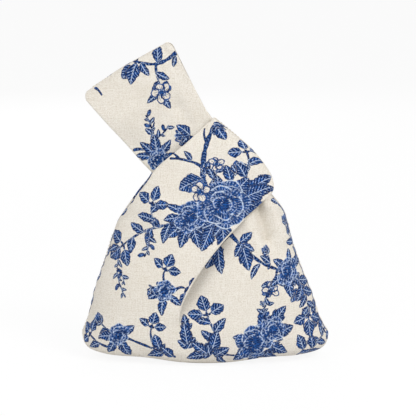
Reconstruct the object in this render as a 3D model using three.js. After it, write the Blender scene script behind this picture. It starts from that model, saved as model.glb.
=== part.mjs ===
// A knot bag of lined canvas that stands on its base, closed: the long handle is drawn through the loop of
// the short one. Millimetres, +Z up, front at -Y, +X to the right of someone who faces the front.
// The origin is on the floor under the middle of the bag, and the back mirrors the front.
import * as THREE from "three";

const { degToRad, lerp, clamp } = THREE.MathUtils;

// Cloth, thread and the gaps between them
const OUTER_CLOTH = 1.2;
const LINING_CLOTH = 0.8;
const PLY_GAP = 0.3; // from the outer cloth to the lining
const SEAM_GAP = 0.4; // between the two cloth edges that a seam joins
const THREAD_RADIUS = 0.45;
const THREAD_GAP = 0.3; // from a seam's thread to the cloth on both sides of it
const THREAD_SIDES = 6;
const SEAM_DRAW = 1.6; // how far a seam draws the cloth in
const SEAM_DRAW_REACH = 6; // how far from the seam that starts

// Body, from the floor up to the tops of its side seams
const BODY_HALF_WIDTH = 106.8;
const BODY_HALF_DEPTH = 46;
const WIDEST_Z = 21;
const FOOT_HALF_WIDTH = 102; // at the height of the mouth's foot
const BASE_SEAM_HALF_LENGTH = 94;
const BASE_CORNER_LIFT = 5.5; // the base's ends curl up off the floor
const BASE_FLAT_HALF_DEPTH = 27;
const BASE_FLAT_SHARE = 0.43; // of the half width, flat on the floor
const BOTTOM_ROUND = 15;
const SECTION_POWER = 2.3; // 2 would make each level section an ellipse
const LEFT_SEAM_TOP = new THREE.Vector2(74.5, 117); // how far out, and how high
const RIGHT_SEAM_TOP = new THREE.Vector2(67.5, 125);
const RIGHT_SEAM_HOLLOW = 2.2; // how far that seam runs inside a straight line

// Mouth: the cut between the two handles, whose left side laps over its right one
const MOUTH_FOOT_X = -23;
const MOUTH_FOOT_Z = 33;
const MOUTH_FOOT_GAP = 1.6; // between the two sides before they lap
const MOUTH_EASE = 30; // length of the curve's handles
const HIDDEN_EDGE_X = -26; // the right side's edge, where it nears the long handle's neck
const HIDDEN_EDGE_Z = 132;

// How the front flattens, a share of the body's half depth for each row from the mouth's foot up:
// at the mouth's edge, and as a crown between there and the outer edge
const FOOT_SHARE = 0.98;
const LEFT_MOUTH_SHARES = [0.99, 0.935, 0.85, 0.72, 0.565, 0.41, 0.26];
const LEFT_CROWN_SHARES = [FOOT_SHARE, 0.905, 0.785, 0.54, 0.33, 0.2, 0.11, 0.04];
const RIGHT_MOUTH_SHARES = [0.87, 0.7, 0.52, 0.33, 0.16];
const RIGHT_CROWN_SHARES = [FOOT_SHARE, 0.925, 0.88, 0.74, 0.48, 0.17, 0];

// Short handle: a band that leans right, folds over and goes down the back the same way
const BAND_ANGLE = degToRad(40.5);
const COLLAR_X = -45; // where the long handle's lower edge comes out from under the band
const COLLAR_Z = 161;
const COLLAR_LENGTH = 70.2; // along the band's upper edge, from there to the fold
const BAND_WIDTH = 80.7;
const FOLD_LEAN = degToRad(4.4); // of the fold, off square to the band
const FOLD_BOW = 10.8; // of the fold, beyond a straight line
const FOLD_BOW_PEAK = 0.78; // where along the fold that is
const FOLD_RUN = 10; // length of the turn from front to back
const BAND_LOWER_RUN = 35; // straight stretch of the band's lower edge
const BAND_EDGE_DEPTH = 9; // of the band's upper edge, from the middle plane

// Long handle: a neck inside the band, and a flattened loop beyond the line that it folds on
const NECK_HALF_DEPTH = 3.8;
const NECK_FLATTENS = [-20, -5]; // from there to there, below the fold line
const NECK_LEFT_INSET = -2.4; // along the band, from the collar's corner
const NECK_RIGHT_INSET = 5.5; // along the band, from the fold
const TIP_INSET = 4; // of the panel's edge, along the band, as it goes under the fold's tip
const TIP_RISE = 1; // of the same, up along the fold
const TIP_DEPTH = 6.5;
const NECK_CUT_LEFT = new THREE.Vector2(-31.5, 144.5); // where the neck leaves the front panel
const NECK_CUT_RIGHT = new THREE.Vector2(32.3, 170.5);
const CREASE_RISE = 9; // of the fold line, above the band's edge
const CREASE_HALF_DEPTH = 2.7;
const CREASE_SWING = degToRad(115); // to the front, and as far to the back
const LOOP_HALF_DEPTH = 8;
const LOOP_END_LEFT = new THREE.Vector2(-104.2, 225.6);
const LOOP_END_RIGHT = new THREE.Vector2(-30.5, 273);
const LOOP_END_BOW = 0.8; // of the loop's end, beyond a straight line
const LOOP_CORNER = 5; // rounding of the loop's end corners

// How finely the cloth is drawn
const HALF_COLUMNS = 10;
const STRAP_COLUMNS = 7;
const BODY_ROWS = [0, 0.5, 1, 1.5, 2, 2.67, 3.33, 4, 5, 6];
const LEFT_ROWS = [6.5, 7, 7.67, 8.33, 9, 9.67, 10.33, 11, 11.67, 12.33, 13, 13.33, 13.67, 14];
const RIGHT_ROWS = [6.5, 7, 7.67, 8.33, 9, 9.67, 10.33, 11, 11.5, 12];
const NECK_ROWS = 4;
const LOOP_ROWS = 7;
const LOOP_END_ROWS = 4;

// Rows of the front panel that have a name, counted from the base seam
const ROW = { flat: 1, round: 2, wall: 4, widest: 5, foot: 6, leftSeamTop: 9, rightSeamTop: 10, band: 11, neck: 12, fold: 13 };

const point = (x, y, z) => new THREE.Vector3(x, y, z);
const along = (angle) => point(Math.cos(angle), 0, Math.sin(angle));
const plus = (p, direction, distance) => p.clone().addScaledVector(direction, distance);
const fullness = (q) => Math.sqrt(Math.max(0, 1 - Math.abs(q) ** SECTION_POWER));
const HALF_SEAM = SEAM_GAP / 2;

// Corners of the band
const bandWay = along(BAND_ANGLE);
const foldWay = along(BAND_ANGLE - Math.PI / 2 - FOLD_LEAN);
const collarCorner = point(COLLAR_X, 0, COLLAR_Z);
const foldTop = plus(collarCorner, bandWay, COLLAR_LENGTH);
const foldTip = plus(foldTop, foldWay, BAND_WIDTH);
const bandRoot = plus(foldTip, bandWay, -BAND_LOWER_RUN);

// A smooth line through points that stand one row apart, from its first row on
function guide(firstRow, points) {
  const curve = new THREE.CatmullRomCurve3(points, false, "catmullrom", 0.5);
  return (row) => curve.getPoint(clamp((row - firstRow) / (points.length - 1), 0, 1));
}

function withDepth(p, depth) {
  return point(p.x, -depth, p.z);
}

// The side seam's line: a round corner off the base, then up to the seam's top, straight or a little hollow
function sideSeam(side, topRow, top, hollow) {
  const seamPoint = (x, z) => point(side * x, -HALF_SEAM, z);
  return (row) => {
    if (row <= ROW.widest) {
      const turn = ((row / ROW.widest) * Math.PI) / 2;
      const x = lerp(BASE_SEAM_HALF_LENGTH, BODY_HALF_WIDTH, Math.sin(turn));
      return seamPoint(x, lerp(WIDEST_Z, BASE_CORNER_LIFT, Math.cos(turn)));
    }
    if (row <= ROW.foot) {
      const share = row - ROW.widest;
      return seamPoint(lerp(BODY_HALF_WIDTH, FOOT_HALF_WIDTH, share), lerp(WIDEST_Z, MOUTH_FOOT_Z, share));
    }
    const share = (row - ROW.foot) / (topRow - ROW.foot);
    const x = lerp(FOOT_HALF_WIDTH, top.x, share) - 4 * hollow * share * (1 - share);
    return seamPoint(x, lerp(MOUTH_FOOT_Z, top.y, share));
  };
}

const leftSeam = sideSeam(-1, ROW.leftSeamTop, LEFT_SEAM_TOP, 0);
const rightSeam = sideSeam(1, ROW.rightSeamTop, RIGHT_SEAM_TOP, RIGHT_SEAM_HOLLOW);

// The middle of the body's front, from the base seam up to the mouth's foot: depth and height
function middle(row) {
  if (row <= ROW.flat) {
    return { depth: lerp(HALF_SEAM, SEAM_DRAW_REACH, row), z: SEAM_DRAW * (1 - row) ** 2 };
  }
  if (row <= ROW.round) {
    return { depth: lerp(SEAM_DRAW_REACH, BASE_FLAT_HALF_DEPTH, row - ROW.flat), z: 0 };
  }
  if (row <= ROW.wall) {
    const turn = (((row - ROW.round) / (ROW.wall - ROW.round)) * Math.PI) / 2;
    const depth = lerp(BASE_FLAT_HALF_DEPTH, BODY_HALF_DEPTH, Math.sin(turn));
    return { depth, z: BOTTOM_ROUND * (1 - Math.cos(turn)) };
  }
  const share = (row - ROW.wall) / (ROW.foot - ROW.wall);
  return {
    depth: BODY_HALF_DEPTH * lerp(1, FOOT_SHARE, share * share),
    z: lerp(BOTTOM_ROUND, MOUTH_FOOT_Z, share),
  };
}

// Each half of the front panel is lofted from its outer edge to the mouth's line, with a crown between
const mouthShare = MOUTH_FOOT_X / FOOT_HALF_WIDTH;

function mouthBelowFoot(row) {
  const { depth, z } = middle(row);
  return point(mouthShare * rightSeam(row).x, -Math.max(HALF_SEAM, depth * fullness(mouthShare)), z);
}

const mouthCurve = new THREE.CubicBezierCurve3(
  point(MOUTH_FOOT_X, 0, MOUTH_FOOT_Z),
  point(MOUTH_FOOT_X, 0, MOUTH_FOOT_Z + MOUTH_EASE),
  plus(bandRoot, bandWay, -MOUTH_EASE),
  bandRoot,
);
const mouthAt = (row) => mouthCurve.getPoint((row - ROW.foot) / (ROW.band - ROW.foot));

const depthShare = (share) => share * BODY_HALF_DEPTH;
const crownGuide = (shares) => guide(ROW.foot, shares.map((share) => point(depthShare(share), 0, 0)));

function leftHalf() {
  const seamTop = leftSeam(ROW.leftSeamTop);
  const foldStart = [plus(foldTop, bandWay, -FOLD_RUN), plus(foldTip, bandWay, -FOLD_RUN)];
  const edge = guide(ROW.foot, [
    leftSeam(6),
    leftSeam(7),
    leftSeam(8),
    seamTop,
    withDepth(seamTop.clone().lerp(collarCorner, 0.48), BAND_EDGE_DEPTH),
    withDepth(collarCorner, BAND_EDGE_DEPTH),
    withDepth(collarCorner.clone().lerp(foldStart[0], 0.55), BAND_EDGE_DEPTH),
    withDepth(foldStart[0], BAND_EDGE_DEPTH),
  ]);
  const lowerEdge = [
    mouthAt(7),
    mouthAt(8),
    mouthAt(9),
    mouthAt(10),
    bandRoot,
    bandRoot.clone().lerp(foldStart[1], 0.5),
    foldStart[1],
  ];
  const mouth = guide(ROW.foot, [
    mouthBelowFoot(ROW.foot),
    ...lowerEdge.map((p, i) => withDepth(p, depthShare(LEFT_MOUTH_SHARES[i]))),
  ]);
  const crown = crownGuide(LEFT_CROWN_SHARES);
  return {
    side: -1,
    lastRow: ROW.fold + 1,
    slit: mouthShare,
    seamTop: ROW.leftSeamTop,
    edge: (row) => (row <= ROW.foot ? leftSeam(row) : edge(row)),
    mouth: (row) => (row <= ROW.foot ? mouthBelowFoot(row) : mouth(row)),
    crown: (row) => (row <= ROW.foot ? middle(row).depth : crown(row).x),
  };
}

function rightHalf() {
  const cutRight = point(NECK_CUT_RIGHT.x, -NECK_HALF_DEPTH, NECK_CUT_RIGHT.y);
  const cutLeft = point(NECK_CUT_LEFT.x, -NECK_HALF_DEPTH, NECK_CUT_LEFT.y);
  const underTip = plus(plus(foldTip, bandWay, -TIP_INSET), foldWay, -TIP_RISE);
  const edge = guide(ROW.foot, [
    rightSeam(6),
    rightSeam(7),
    rightSeam(8),
    rightSeam(9),
    rightSeam(10),
    withDepth(underTip, TIP_DEPTH),
    cutRight,
  ]);
  const foot = point(MOUTH_FOOT_X, 0, MOUTH_FOOT_Z);
  const hiddenTop = point(HIDDEN_EDGE_X, 0, HIDDEN_EDGE_Z);
  const hiddenEdge = [
    plus(mouthAt(7), point(1, 0, 0), MOUTH_FOOT_GAP),
    foot.clone().lerp(hiddenTop, 0.44),
    foot.clone().lerp(hiddenTop, 0.65),
    foot.clone().lerp(hiddenTop, 0.85),
    hiddenTop,
  ];
  const mouth = guide(ROW.foot, [
    mouthBelowFoot(ROW.foot),
    ...hiddenEdge.map((p, i) => withDepth(p, depthShare(RIGHT_MOUTH_SHARES[i]))),
    cutLeft,
  ]);
  const crown = crownGuide(RIGHT_CROWN_SHARES);
  return {
    side: 1,
    lastRow: ROW.neck,
    slit: -mouthShare,
    seamTop: ROW.rightSeamTop,
    edge: (row) => (row <= ROW.foot ? rightSeam(row) : edge(row)),
    mouth: (row) => (row <= ROW.foot ? mouthBelowFoot(row) : mouth(row)),
    crown: (row) => (row <= ROW.foot ? middle(row).depth : crown(row).x),
  };
}

// How far the band's fold bows out, at a share of its length
function foldBow(share) {
  if (share < FOLD_BOW_PEAK) {
    return FOLD_BOW * Math.sin(((Math.PI / 2) * share) / FOLD_BOW_PEAK);
  }
  const past = (share - FOLD_BOW_PEAK) / (1 - FOLD_BOW_PEAK);
  return FOLD_BOW * Math.sqrt(Math.max(0, 1 - past * past));
}

// A point of a half, at a share of its width from its outer edge and at a row
function halfPoint(half, share, row) {
  if (row > ROW.fold) {
    return foldPoint(half, share, ((row - ROW.fold) * Math.PI) / 2);
  }
  const q = -Math.cos(share * Math.acos(-half.slit));
  const across = (1 + q) / (1 + half.slit);
  const edge = half.edge(row);
  const mouth = half.mouth(row);
  const flatEnds = (Math.max(0, -q - BASE_FLAT_SHARE) / (1 - BASE_FLAT_SHARE)) ** 2;
  const lift = lerp(flatEnds, 1 - across, clamp(row - ROW.foot, 0, 1));
  const crown = half.crown(row) * (fullness(q) - fullness(half.slit) * across);
  const p = point(lerp(edge.x, mouth.x, across), lerp(edge.y, mouth.y, across) - crown, lerp(mouth.z, edge.z, lift));
  if (half.side < 0 && row > ROW.band) {
    p.addScaledVector(bandWay, (foldBow(across) * (row - ROW.band)) / (ROW.fold - ROW.band) / 2);
  }
  const drawn = Math.max(0, 1 + p.y / SEAM_DRAW_REACH) ** 2 * clamp(half.seamTop - row, 0, 1);
  p.x -= half.side * SEAM_DRAW * drawn;
  return p;
}

// The turn of the short handle from front to back, a quarter of it to the seam at its top
function foldPoint(half, share, turn) {
  const start = halfPoint(half, share, ROW.fold);
  const q = -Math.cos(share * Math.acos(-half.slit));
  const across = (1 + q) / (1 + half.slit);
  const top = plus(plus(foldTop, foldWay, across * BAND_WIDTH), bandWay, foldBow(across));
  const drawn = plus(top, bandWay, -SEAM_DRAW * Math.max(0, 1 - Math.cos(turn) * 2));
  return point(
    lerp(start.x, drawn.x, Math.sin(turn)),
    lerp(-HALF_SEAM, start.y, Math.cos(turn)),
    lerp(start.z, drawn.z, Math.sin(turn)),
  );
}

// The cloth's outward direction on a surface, from its slopes there; its first share runs to the right or left
function outward(surface, u, v, last, runs) {
  const step = 1e-3;
  const slopeU = surface(Math.min(1, u + step), v).sub(surface(Math.max(0, u - step), v));
  const slopeV = surface(u, Math.min(last, v + step)).sub(surface(u, Math.max(0, v - step)));
  return slopeU.cross(slopeV).normalize().multiplyScalar(runs);
}

// Closed cloth between two faces that have the same net of four-sided cells
function clothBetween(outer, inner, cells) {
  const count = outer.length;
  const triangles = [];
  const uses = new Map();
  const key = (a, b) => (a < b ? `${a} ${b}` : `${b} ${a}`);
  for (const [a, b, c, d] of cells) {
    triangles.push(a, b, c, a, c, d);
    triangles.push(count + a, count + c, count + b, count + a, count + d, count + c);
    for (const [from, to] of [[a, b], [b, c], [c, d], [d, a]]) {
      const edge = key(from, to);
      uses.set(edge, uses.has(edge) ? null : [from, to]);
    }
  }
  for (const rim of uses.values()) {
    if (rim) {
      const [from, to] = rim;
      triangles.push(from, count + from, count + to, from, count + to, to);
    }
  }
  const geometry = new THREE.BufferGeometry().setFromPoints([...outer, ...inner]);
  geometry.setIndex(triangles);
  geometry.computeVertexNormals();
  return geometry;
}

// The net of the front panel: two halves that share the mouth's line up to its foot
function panelNet() {
  const net = [];
  const cells = [];
  const grid = (half, rows, sharedColumn) => {
    const place = rows.map((row, i) =>
      Array.from({ length: HALF_COLUMNS + 1 }, (_, j) => {
        if (sharedColumn && j === HALF_COLUMNS && row <= ROW.foot) {
          return sharedColumn[i];
        }
        net.push({ half, share: j / HALF_COLUMNS, row });
        return net.length - 1;
      }),
    );
    for (let i = 0; i + 1 < rows.length; i++) {
      for (let j = 0; j < HALF_COLUMNS; j++) {
        const cell = [place[i][j], place[i][j + 1], place[i + 1][j + 1], place[i + 1][j]];
        cells.push(half.side < 0 ? cell : cell.reverse());
      }
    }
    return place.map((columns) => columns[HALF_COLUMNS]);
  };
  const mouthLine = grid(leftHalf(), [...BODY_ROWS, ...LEFT_ROWS], null);
  grid(rightHalf(), [...BODY_ROWS, ...RIGHT_ROWS], mouthLine);
  return { net, cells };
}

// No front cloth passes the bag's middle plane
function keepInFront(p) {
  p.y = Math.min(p.y, -HALF_SEAM);
  return p;
}

function panelCloth(panel, depthOut, depthIn) {
  const face = (depth) =>
    panel.net.map(({ half, share, row }) => {
      const surface = (u, v) => halfPoint(half, u, v);
      return keepInFront(plus(surface(share, row), outward(surface, share, row, half.lastRow, -half.side), -depth));
    });
  return clothBetween(face(depthOut), face(depthIn), panel.cells);
}

// The long handle's frame: across runs along the line that it folds on, and rise is square to that
const across = bandWay;
const rise = along(BAND_ANGLE + Math.PI / 2);
const neckLeft = plus(collarCorner, across, NECK_LEFT_INSET);
const neckRight = plus(foldTop, across, -NECK_RIGHT_INSET);
const riseOf = (p) => p.clone().sub(collarCorner).dot(rise) - CREASE_RISE;
const flatPoint = (p) => point(p.x, 0, p.y);

// Where an edge of the handle is, at a rise above the line that it folds on
function handleEdge(below, end) {
  const crease = below.clone().lerp(end, CREASE_RISE / (riseOf(end) + CREASE_RISE));
  return { crease, end, endRise: riseOf(end) };
}
const leftEdge = handleEdge(neckLeft, flatPoint(LOOP_END_LEFT));
const rightEdge = handleEdge(neckRight, flatPoint(LOOP_END_RIGHT));

function straightTo(edge, cut, height) {
  if (height >= 0) {
    return edge.crease.clone().lerp(edge.end, height / edge.endRise);
  }
  return edge.crease.clone().lerp(cut, height / riseOf(cut));
}

function handlePoint(share, height, depth) {
  const left = straightTo(leftEdge, flatPoint(NECK_CUT_LEFT), height);
  const right = straightTo(rightEdge, flatPoint(NECK_CUT_RIGHT), height);
  return withDepth(left.lerp(right, share), depth);
}

const bowAt = (share) => 4 * LOOP_END_BOW * share * (1 - share);
const loopEndRise = (share) => lerp(leftEdge.endRise, rightEdge.endRise, share) + bowAt(share);
const ease = (t) => t * t * (3 - 2 * t);

// The loop's outer face, from the crease at 0 to where its end turns over at 1, and round the turn up to 2
function loopPoint(start, share, travel) {
  const endRise = loopEndRise(share);
  const turnRise = endRise - LOOP_HALF_DEPTH;
  if (travel <= 1) {
    const height = lerp(start, turnRise, travel);
    const open = ease(clamp(height / (turnRise * 0.62), 0, 1));
    return handlePoint(share, height, lerp(CREASE_HALF_DEPTH, LOOP_HALF_DEPTH, open));
  }
  const turn = ((travel - 1) * Math.PI) / 2;
  const draw = SEAM_DRAW * Math.max(0, 1 - Math.cos(turn) * 2);
  const height = turnRise + LOOP_HALF_DEPTH * Math.sin(turn) - draw;
  const narrowed = LOOP_CORNER * (1 - Math.cos(turn));
  const width = leftEdge.end.distanceTo(rightEdge.end);
  const kept = lerp(narrowed / width, 1 - narrowed / width, share);
  return handlePoint(kept, height, lerp(HALF_SEAM, LOOP_HALF_DEPTH, Math.cos(turn)));
}

// The neck's outer face, from its cut at 0 up to its top at 1
function neckPoint(top, share, travel) {
  const cutRise = lerp(riseOf(flatPoint(NECK_CUT_LEFT)), riseOf(flatPoint(NECK_CUT_RIGHT)), share);
  const height = lerp(cutRise + SEAM_GAP, top, travel);
  const pinch = clamp((height - NECK_FLATTENS[0]) / (NECK_FLATTENS[1] - NECK_FLATTENS[0]), 0, 1);
  return handlePoint(share, height, lerp(NECK_HALF_DEPTH, CREASE_HALF_DEPTH, ease(pinch)));
}

// A ply of the neck ends below, and a ply of the loop above, what the other sweeps as the loop folds over
function neckTop(depth) {
  const fromMiddle = CREASE_HALF_DEPTH - depth;
  const swing = CREASE_SWING - Math.PI / 2;
  const reach = (fromMiddle + CREASE_HALF_DEPTH * Math.sin(swing)) / Math.cos(swing);
  return -(reach * Math.sin(swing) + CREASE_HALF_DEPTH * Math.cos(swing)) - PLY_GAP;
}

function loopFoot(depth) {
  const fromMiddle = Math.min(CREASE_HALF_DEPTH, CREASE_HALF_DEPTH - depth);
  return -Math.sqrt(Math.max(0, CREASE_HALF_DEPTH ** 2 - fromMiddle ** 2));
}

function stripCloth(surfaceAt, travels, depthOut, depthIn) {
  const columns = STRAP_COLUMNS + 1;
  const last = travels[travels.length - 1];
  const face = (depth) =>
    travels.flatMap((travel) =>
      Array.from({ length: columns }, (_, j) => {
        const share = j / STRAP_COLUMNS;
        const surface = surfaceAt(depth);
        return keepInFront(plus(surface(share, travel), outward(surface, share, travel, last, 1), -depth));
      }),
    );
  const cells = [];
  for (let i = 0; i + 1 < travels.length; i++) {
    for (let j = 0; j < STRAP_COLUMNS; j++) {
      const a = i * columns + j;
      cells.push([a, a + 1, a + 1 + columns, a + columns]);
    }
  }
  return clothBetween(face(depthOut), face(depthIn), cells);
}

const steps = (count, from, to) => Array.from({ length: count + 1 }, (_, i) => lerp(from, to, i / count));

function neckCloth(depthOut, depthIn) {
  const surfaceAt = (depth) => (share, travel) => neckPoint(neckTop(depth), share, travel);
  return stripCloth(surfaceAt, steps(NECK_ROWS, 0, 1), depthOut, depthIn);
}

function loopCloth(depthOut, depthIn) {
  const surfaceAt = (depth) => (share, travel) => loopPoint(loopFoot(depth), share, travel);
  const travels = [...steps(LOOP_ROWS, 0, 1), ...steps(LOOP_END_ROWS, 1, 2).slice(1)];
  return stripCloth(surfaceAt, travels, depthOut, depthIn);
}

// A seam's thread lies in the groove that the seam draws in the cloth
function threadAlong(points) {
  const ring = Array.from({ length: THREAD_SIDES }, (_, i) => {
    const turn = (i / THREAD_SIDES) * 2 * Math.PI;
    return new THREE.Vector2(Math.cos(turn), Math.sin(turn)).multiplyScalar(THREAD_RADIUS);
  });
  const path = new THREE.CatmullRomCurve3(points, false, "centripetal");
  return new THREE.ExtrudeGeometry(new THREE.Shape(ring), {
    steps: 2 * points.length,
    extrudePath: path,
    bevelEnabled: false,
  });
}

// The groove's line moved out of the cloth, square to itself and in the bag's middle plane
function outOfGroove(line, side) {
  const lift = (THREAD_RADIUS + THREAD_GAP) * Math.hypot(1, SEAM_DRAW / SEAM_DRAW_REACH);
  return line.map((p, i) => {
    const way = line[Math.min(i + 1, line.length - 1)].clone().sub(line[Math.max(i - 1, 0)]);
    const out = point(-way.z, 0, way.x).normalize();
    const moved = plus(p, out, side * lift);
    moved.y = 0;
    return moved;
  });
}

function sideThread(half) {
  const last = half.seamTop - 0.5;
  const line = steps(22, 0.35, last).map((row) => halfPoint(half, 0, row));
  return threadAlong(outOfGroove(line, -half.side));
}

function baseThread(left, right) {
  const fromLeft = steps(HALF_COLUMNS - 1, 1 / HALF_COLUMNS, 1).map((share) => halfPoint(left, share, 0));
  const toRight = steps(HALF_COLUMNS - 1, 1, 1 / HALF_COLUMNS).map((share) => halfPoint(right, share, 0));
  return threadAlong(outOfGroove([...fromLeft, ...toRight.slice(1)], -1));
}

function shortHandleThread(left) {
  const first = 1 / HALF_COLUMNS;
  const line = steps(HALF_COLUMNS - 3, first, 1 - 2 * first).map((share) => halfPoint(left, share, ROW.fold + 1));
  return threadAlong(outOfGroove(line, 1));
}

function longHandleThread() {
  const line = steps(6, 0.06, 0.94).map((share) => loopPoint(0, share, 2));
  return threadAlong(outOfGroove(line, 1));
}

// Materials
const canvas = new THREE.MeshStandardMaterial({ color: 0xe6dfd2, roughness: 0.92, metalness: 0 });
const lining = new THREE.MeshStandardMaterial({ color: 0xded5c4, roughness: 0.9, metalness: 0 });
const thread = new THREE.MeshStandardMaterial({ color: 0xeee8dc, roughness: 0.8, metalness: 0 });

function mesh(name, geometry, material) {
  const made = new THREE.Mesh(geometry, material);
  made.name = name;
  return made;
}

// Front and back plies of one stretch of cloth
function plies(name, clothOf) {
  const group = new THREE.Group();
  const liningTop = OUTER_CLOTH + PLY_GAP;
  const outerPly = clothOf(0, OUTER_CLOTH);
  const liningPly = clothOf(liningTop, liningTop + LINING_CLOTH);
  const back = new THREE.Group();
  back.scale.y = -1;
  group.add(mesh(`${name("front")}_outer`, outerPly, canvas), mesh(`${name("front")}_lining`, liningPly, lining));
  back.add(mesh(`${name("back")}_outer`, outerPly, canvas), mesh(`${name("back")}_lining`, liningPly, lining));
  group.add(back);
  return group;
}

const panel = panelNet();
const left = leftHalf();
const right = rightHalf();
const bag = new THREE.Group();
bag.add(
  plies((side) => `${side}_panel`, (out, inside) => panelCloth(panel, out, inside)),
  plies((side) => `handle_neck_${side}`, neckCloth),
  plies((side) => `handle_loop_${side}`, loopCloth),
  mesh("left_side_seam_thread", sideThread(left), thread),
  mesh("right_side_seam_thread", sideThread(right), thread),
  mesh("base_seam_thread", baseThread(left, right), thread),
  mesh("short_handle_join_thread", shortHandleThread(left), thread),
  mesh("long_handle_join_thread", longHandleThread(), thread),
);

export default bag;
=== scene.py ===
"""A knot bag of printed canvas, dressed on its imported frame.

The cloth runs as on the real bag: two lined panels, whose left half rises as the short handle and laps
over the right half, and a long handle that is drawn through the short one. The back has the front's shape,
mirrored, and its own arrangement of the print.
Inside the pattern lengths are in millimetres, and the finished meshes are in metres.
"""
import math
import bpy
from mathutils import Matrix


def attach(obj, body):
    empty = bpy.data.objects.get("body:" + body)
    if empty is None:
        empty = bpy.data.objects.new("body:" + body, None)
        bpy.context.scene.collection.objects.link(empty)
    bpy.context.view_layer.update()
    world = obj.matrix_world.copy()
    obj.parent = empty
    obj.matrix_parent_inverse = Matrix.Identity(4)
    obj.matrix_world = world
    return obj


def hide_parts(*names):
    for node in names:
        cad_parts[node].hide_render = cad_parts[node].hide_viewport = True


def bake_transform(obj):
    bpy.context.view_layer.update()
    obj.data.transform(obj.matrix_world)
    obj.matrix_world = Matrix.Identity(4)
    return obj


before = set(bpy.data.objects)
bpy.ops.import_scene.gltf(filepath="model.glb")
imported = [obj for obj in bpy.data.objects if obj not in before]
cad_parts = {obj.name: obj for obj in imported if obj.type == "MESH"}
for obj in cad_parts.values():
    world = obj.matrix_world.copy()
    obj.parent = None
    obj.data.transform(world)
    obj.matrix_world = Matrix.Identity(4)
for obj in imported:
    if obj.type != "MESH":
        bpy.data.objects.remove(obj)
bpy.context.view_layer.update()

from types import SimpleNamespace

import bpy
import numpy as np
from bpy.props import FloatProperty, FloatVectorProperty, PointerProperty
from mathutils import Vector

bl_info = {
    "name": "Knot Bag",
    "version": (1, 0, 0),
    "blender": (4, 5, 0),
    "location": "3D View > Sidebar > Knot Bag",
    "description": "Builds a lined knot bag of printed canvas",
    "category": "Object",
}

MM = 0.001

# Rows of the front panel that have a name, counted from the base seam
ROW = SimpleNamespace(
    flat=1, round=2, wall=4, widest=5, foot=6, left_seam_top=9, right_seam_top=10, band=11, neck=12, fold=13
)
SECTION_POWER = 2.3
BASE_FLAT_SHARE = 0.43
FOOT_SHARE = 0.98
FOLD_BOW_PEAK = 0.78

# How the front flattens row by row above the mouth's foot, as shares of the body's half depth
LEFT_MOUTH_SHARES = (0.99, 0.935, 0.85, 0.72, 0.565, 0.41, 0.26)
LEFT_CROWN_SHARES = (FOOT_SHARE, 0.905, 0.785, 0.54, 0.33, 0.2, 0.11, 0.04)
RIGHT_MOUTH_SHARES = (0.87, 0.7, 0.52, 0.33, 0.16)
RIGHT_CROWN_SHARES = (FOOT_SHARE, 0.925, 0.88, 0.74, 0.48, 0.17, 0)
HIDDEN_EDGE_STEPS = (0.44, 0.65, 0.85)

# Where the left half's upper edge is led, as shares of the way to the collar and from there to the fold
TO_COLLAR = 0.48
TO_FOLD = 0.55

# Rows and shares of the left half that are tucked in below the collar, and pinched at the band's corner
TUCK_ROW = 10.65
TUCK_ROWS = 0.35
PINCH_ROW = 11.9
PINCH_SHARE = 0.22

# The long handle above its crease: where the flattened neck ends, the share of its height at which the loop
# is open, and the heights between which its thin edges end
NECK_FLAT = -5
LOOP_OPEN_SHARE = 0.62
THIN_EDGE_HEIGHTS = (55, 10)

# Rows past a seam's top, or past the mouth's foot, over which an edge comes free and starts to roll
FREE_ROWS = (0, 0.5)
EDGE_ROLL_ROWS = (-0.1, 0.6)
MOUTH_ROLL_ROWS = (0.15, 1.05)

# The travel at the long handle's end over which its edges stop rolling, and the share of a roll that the
# inner face of the canvas takes
LOOP_ROLL_TRAVEL = (2, 1.5)
INNER_ROLL = 0.6

# The lining: rough widths of the two halves, the rows over which it stays back from an edge and from the
# mouth, and how much further back it stays near the mouth's foot, at which row and over how many
HALF_WIDTHS = {-1: 100, 1: 130}
LINING_EDGE_ROWS = (-0.5, 0.3)
LINING_MOUTH_ROWS = (0, 0.7)
FOOT_ROOM = 2
FOOT_ROOM_ROW = 0.6
FOOT_ROOM_ROWS = 0.5477

# How finely the cloth is drawn: stretches of rows or shares, and the steps in each
BODY_ROW_SPANS = ((0, 1, 8), (1, 2, 16), (2, 4, 24), (4, 6, 28))
LEFT_ROW_SPANS = BODY_ROW_SPANS + ((6, 9, 116), (9, 11, 60), (11, 13, 56), (13, 14, 20))
RIGHT_ROW_SPANS = BODY_ROW_SPANS + ((6, 10, 112), (10, 12, 56))
LEFT_SHARE_SPANS = ((0, 0.03, 8), (0.03, 0.97, 108), (0.97, 1, 8))
RIGHT_SHARE_SPANS = ((0, 0.025, 8), (0.025, 0.975, 156), (0.975, 1, 8))
HALF_SPANS = {-1: (LEFT_ROW_SPANS, LEFT_SHARE_SPANS), 1: (RIGHT_ROW_SPANS, RIGHT_SHARE_SPANS)}
HANDLE_TRAVEL_SPANS = ((-1, 0, 40), (0, 1, 88), (1, 2, 16))
HANDLE_SHARE_SPANS = ((0, 0.035, 8), (0.035, 0.965, 92), (0.965, 1, 8))
COARSE = 4

# How far from a free edge and from a seam, in millimetres, the cloth starts to ripple
EDGE_CALM = 8
SEAM_CALM = 3


# Sizes and colours


def length(mm, name, description):
    """A property that holds a length, given here in millimetres."""
    return FloatProperty(
        name=name, description=description, default=mm * MM, unit="LENGTH", subtype="DISTANCE", precision=5
    )


def place(x, z, name, description):
    """A property that holds a place on the bag's middle plane, given here in millimetres."""
    return FloatVectorProperty(
        name=name, description=description, size=2, default=(x * MM, z * MM), unit="LENGTH", precision=5
    )


def angle(degrees, name, description):
    """A property that holds an angle, given here in degrees."""
    return FloatProperty(
        name=name, description=description, default=math.radians(degrees), unit="ROTATION", subtype="ANGLE"
    )


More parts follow.
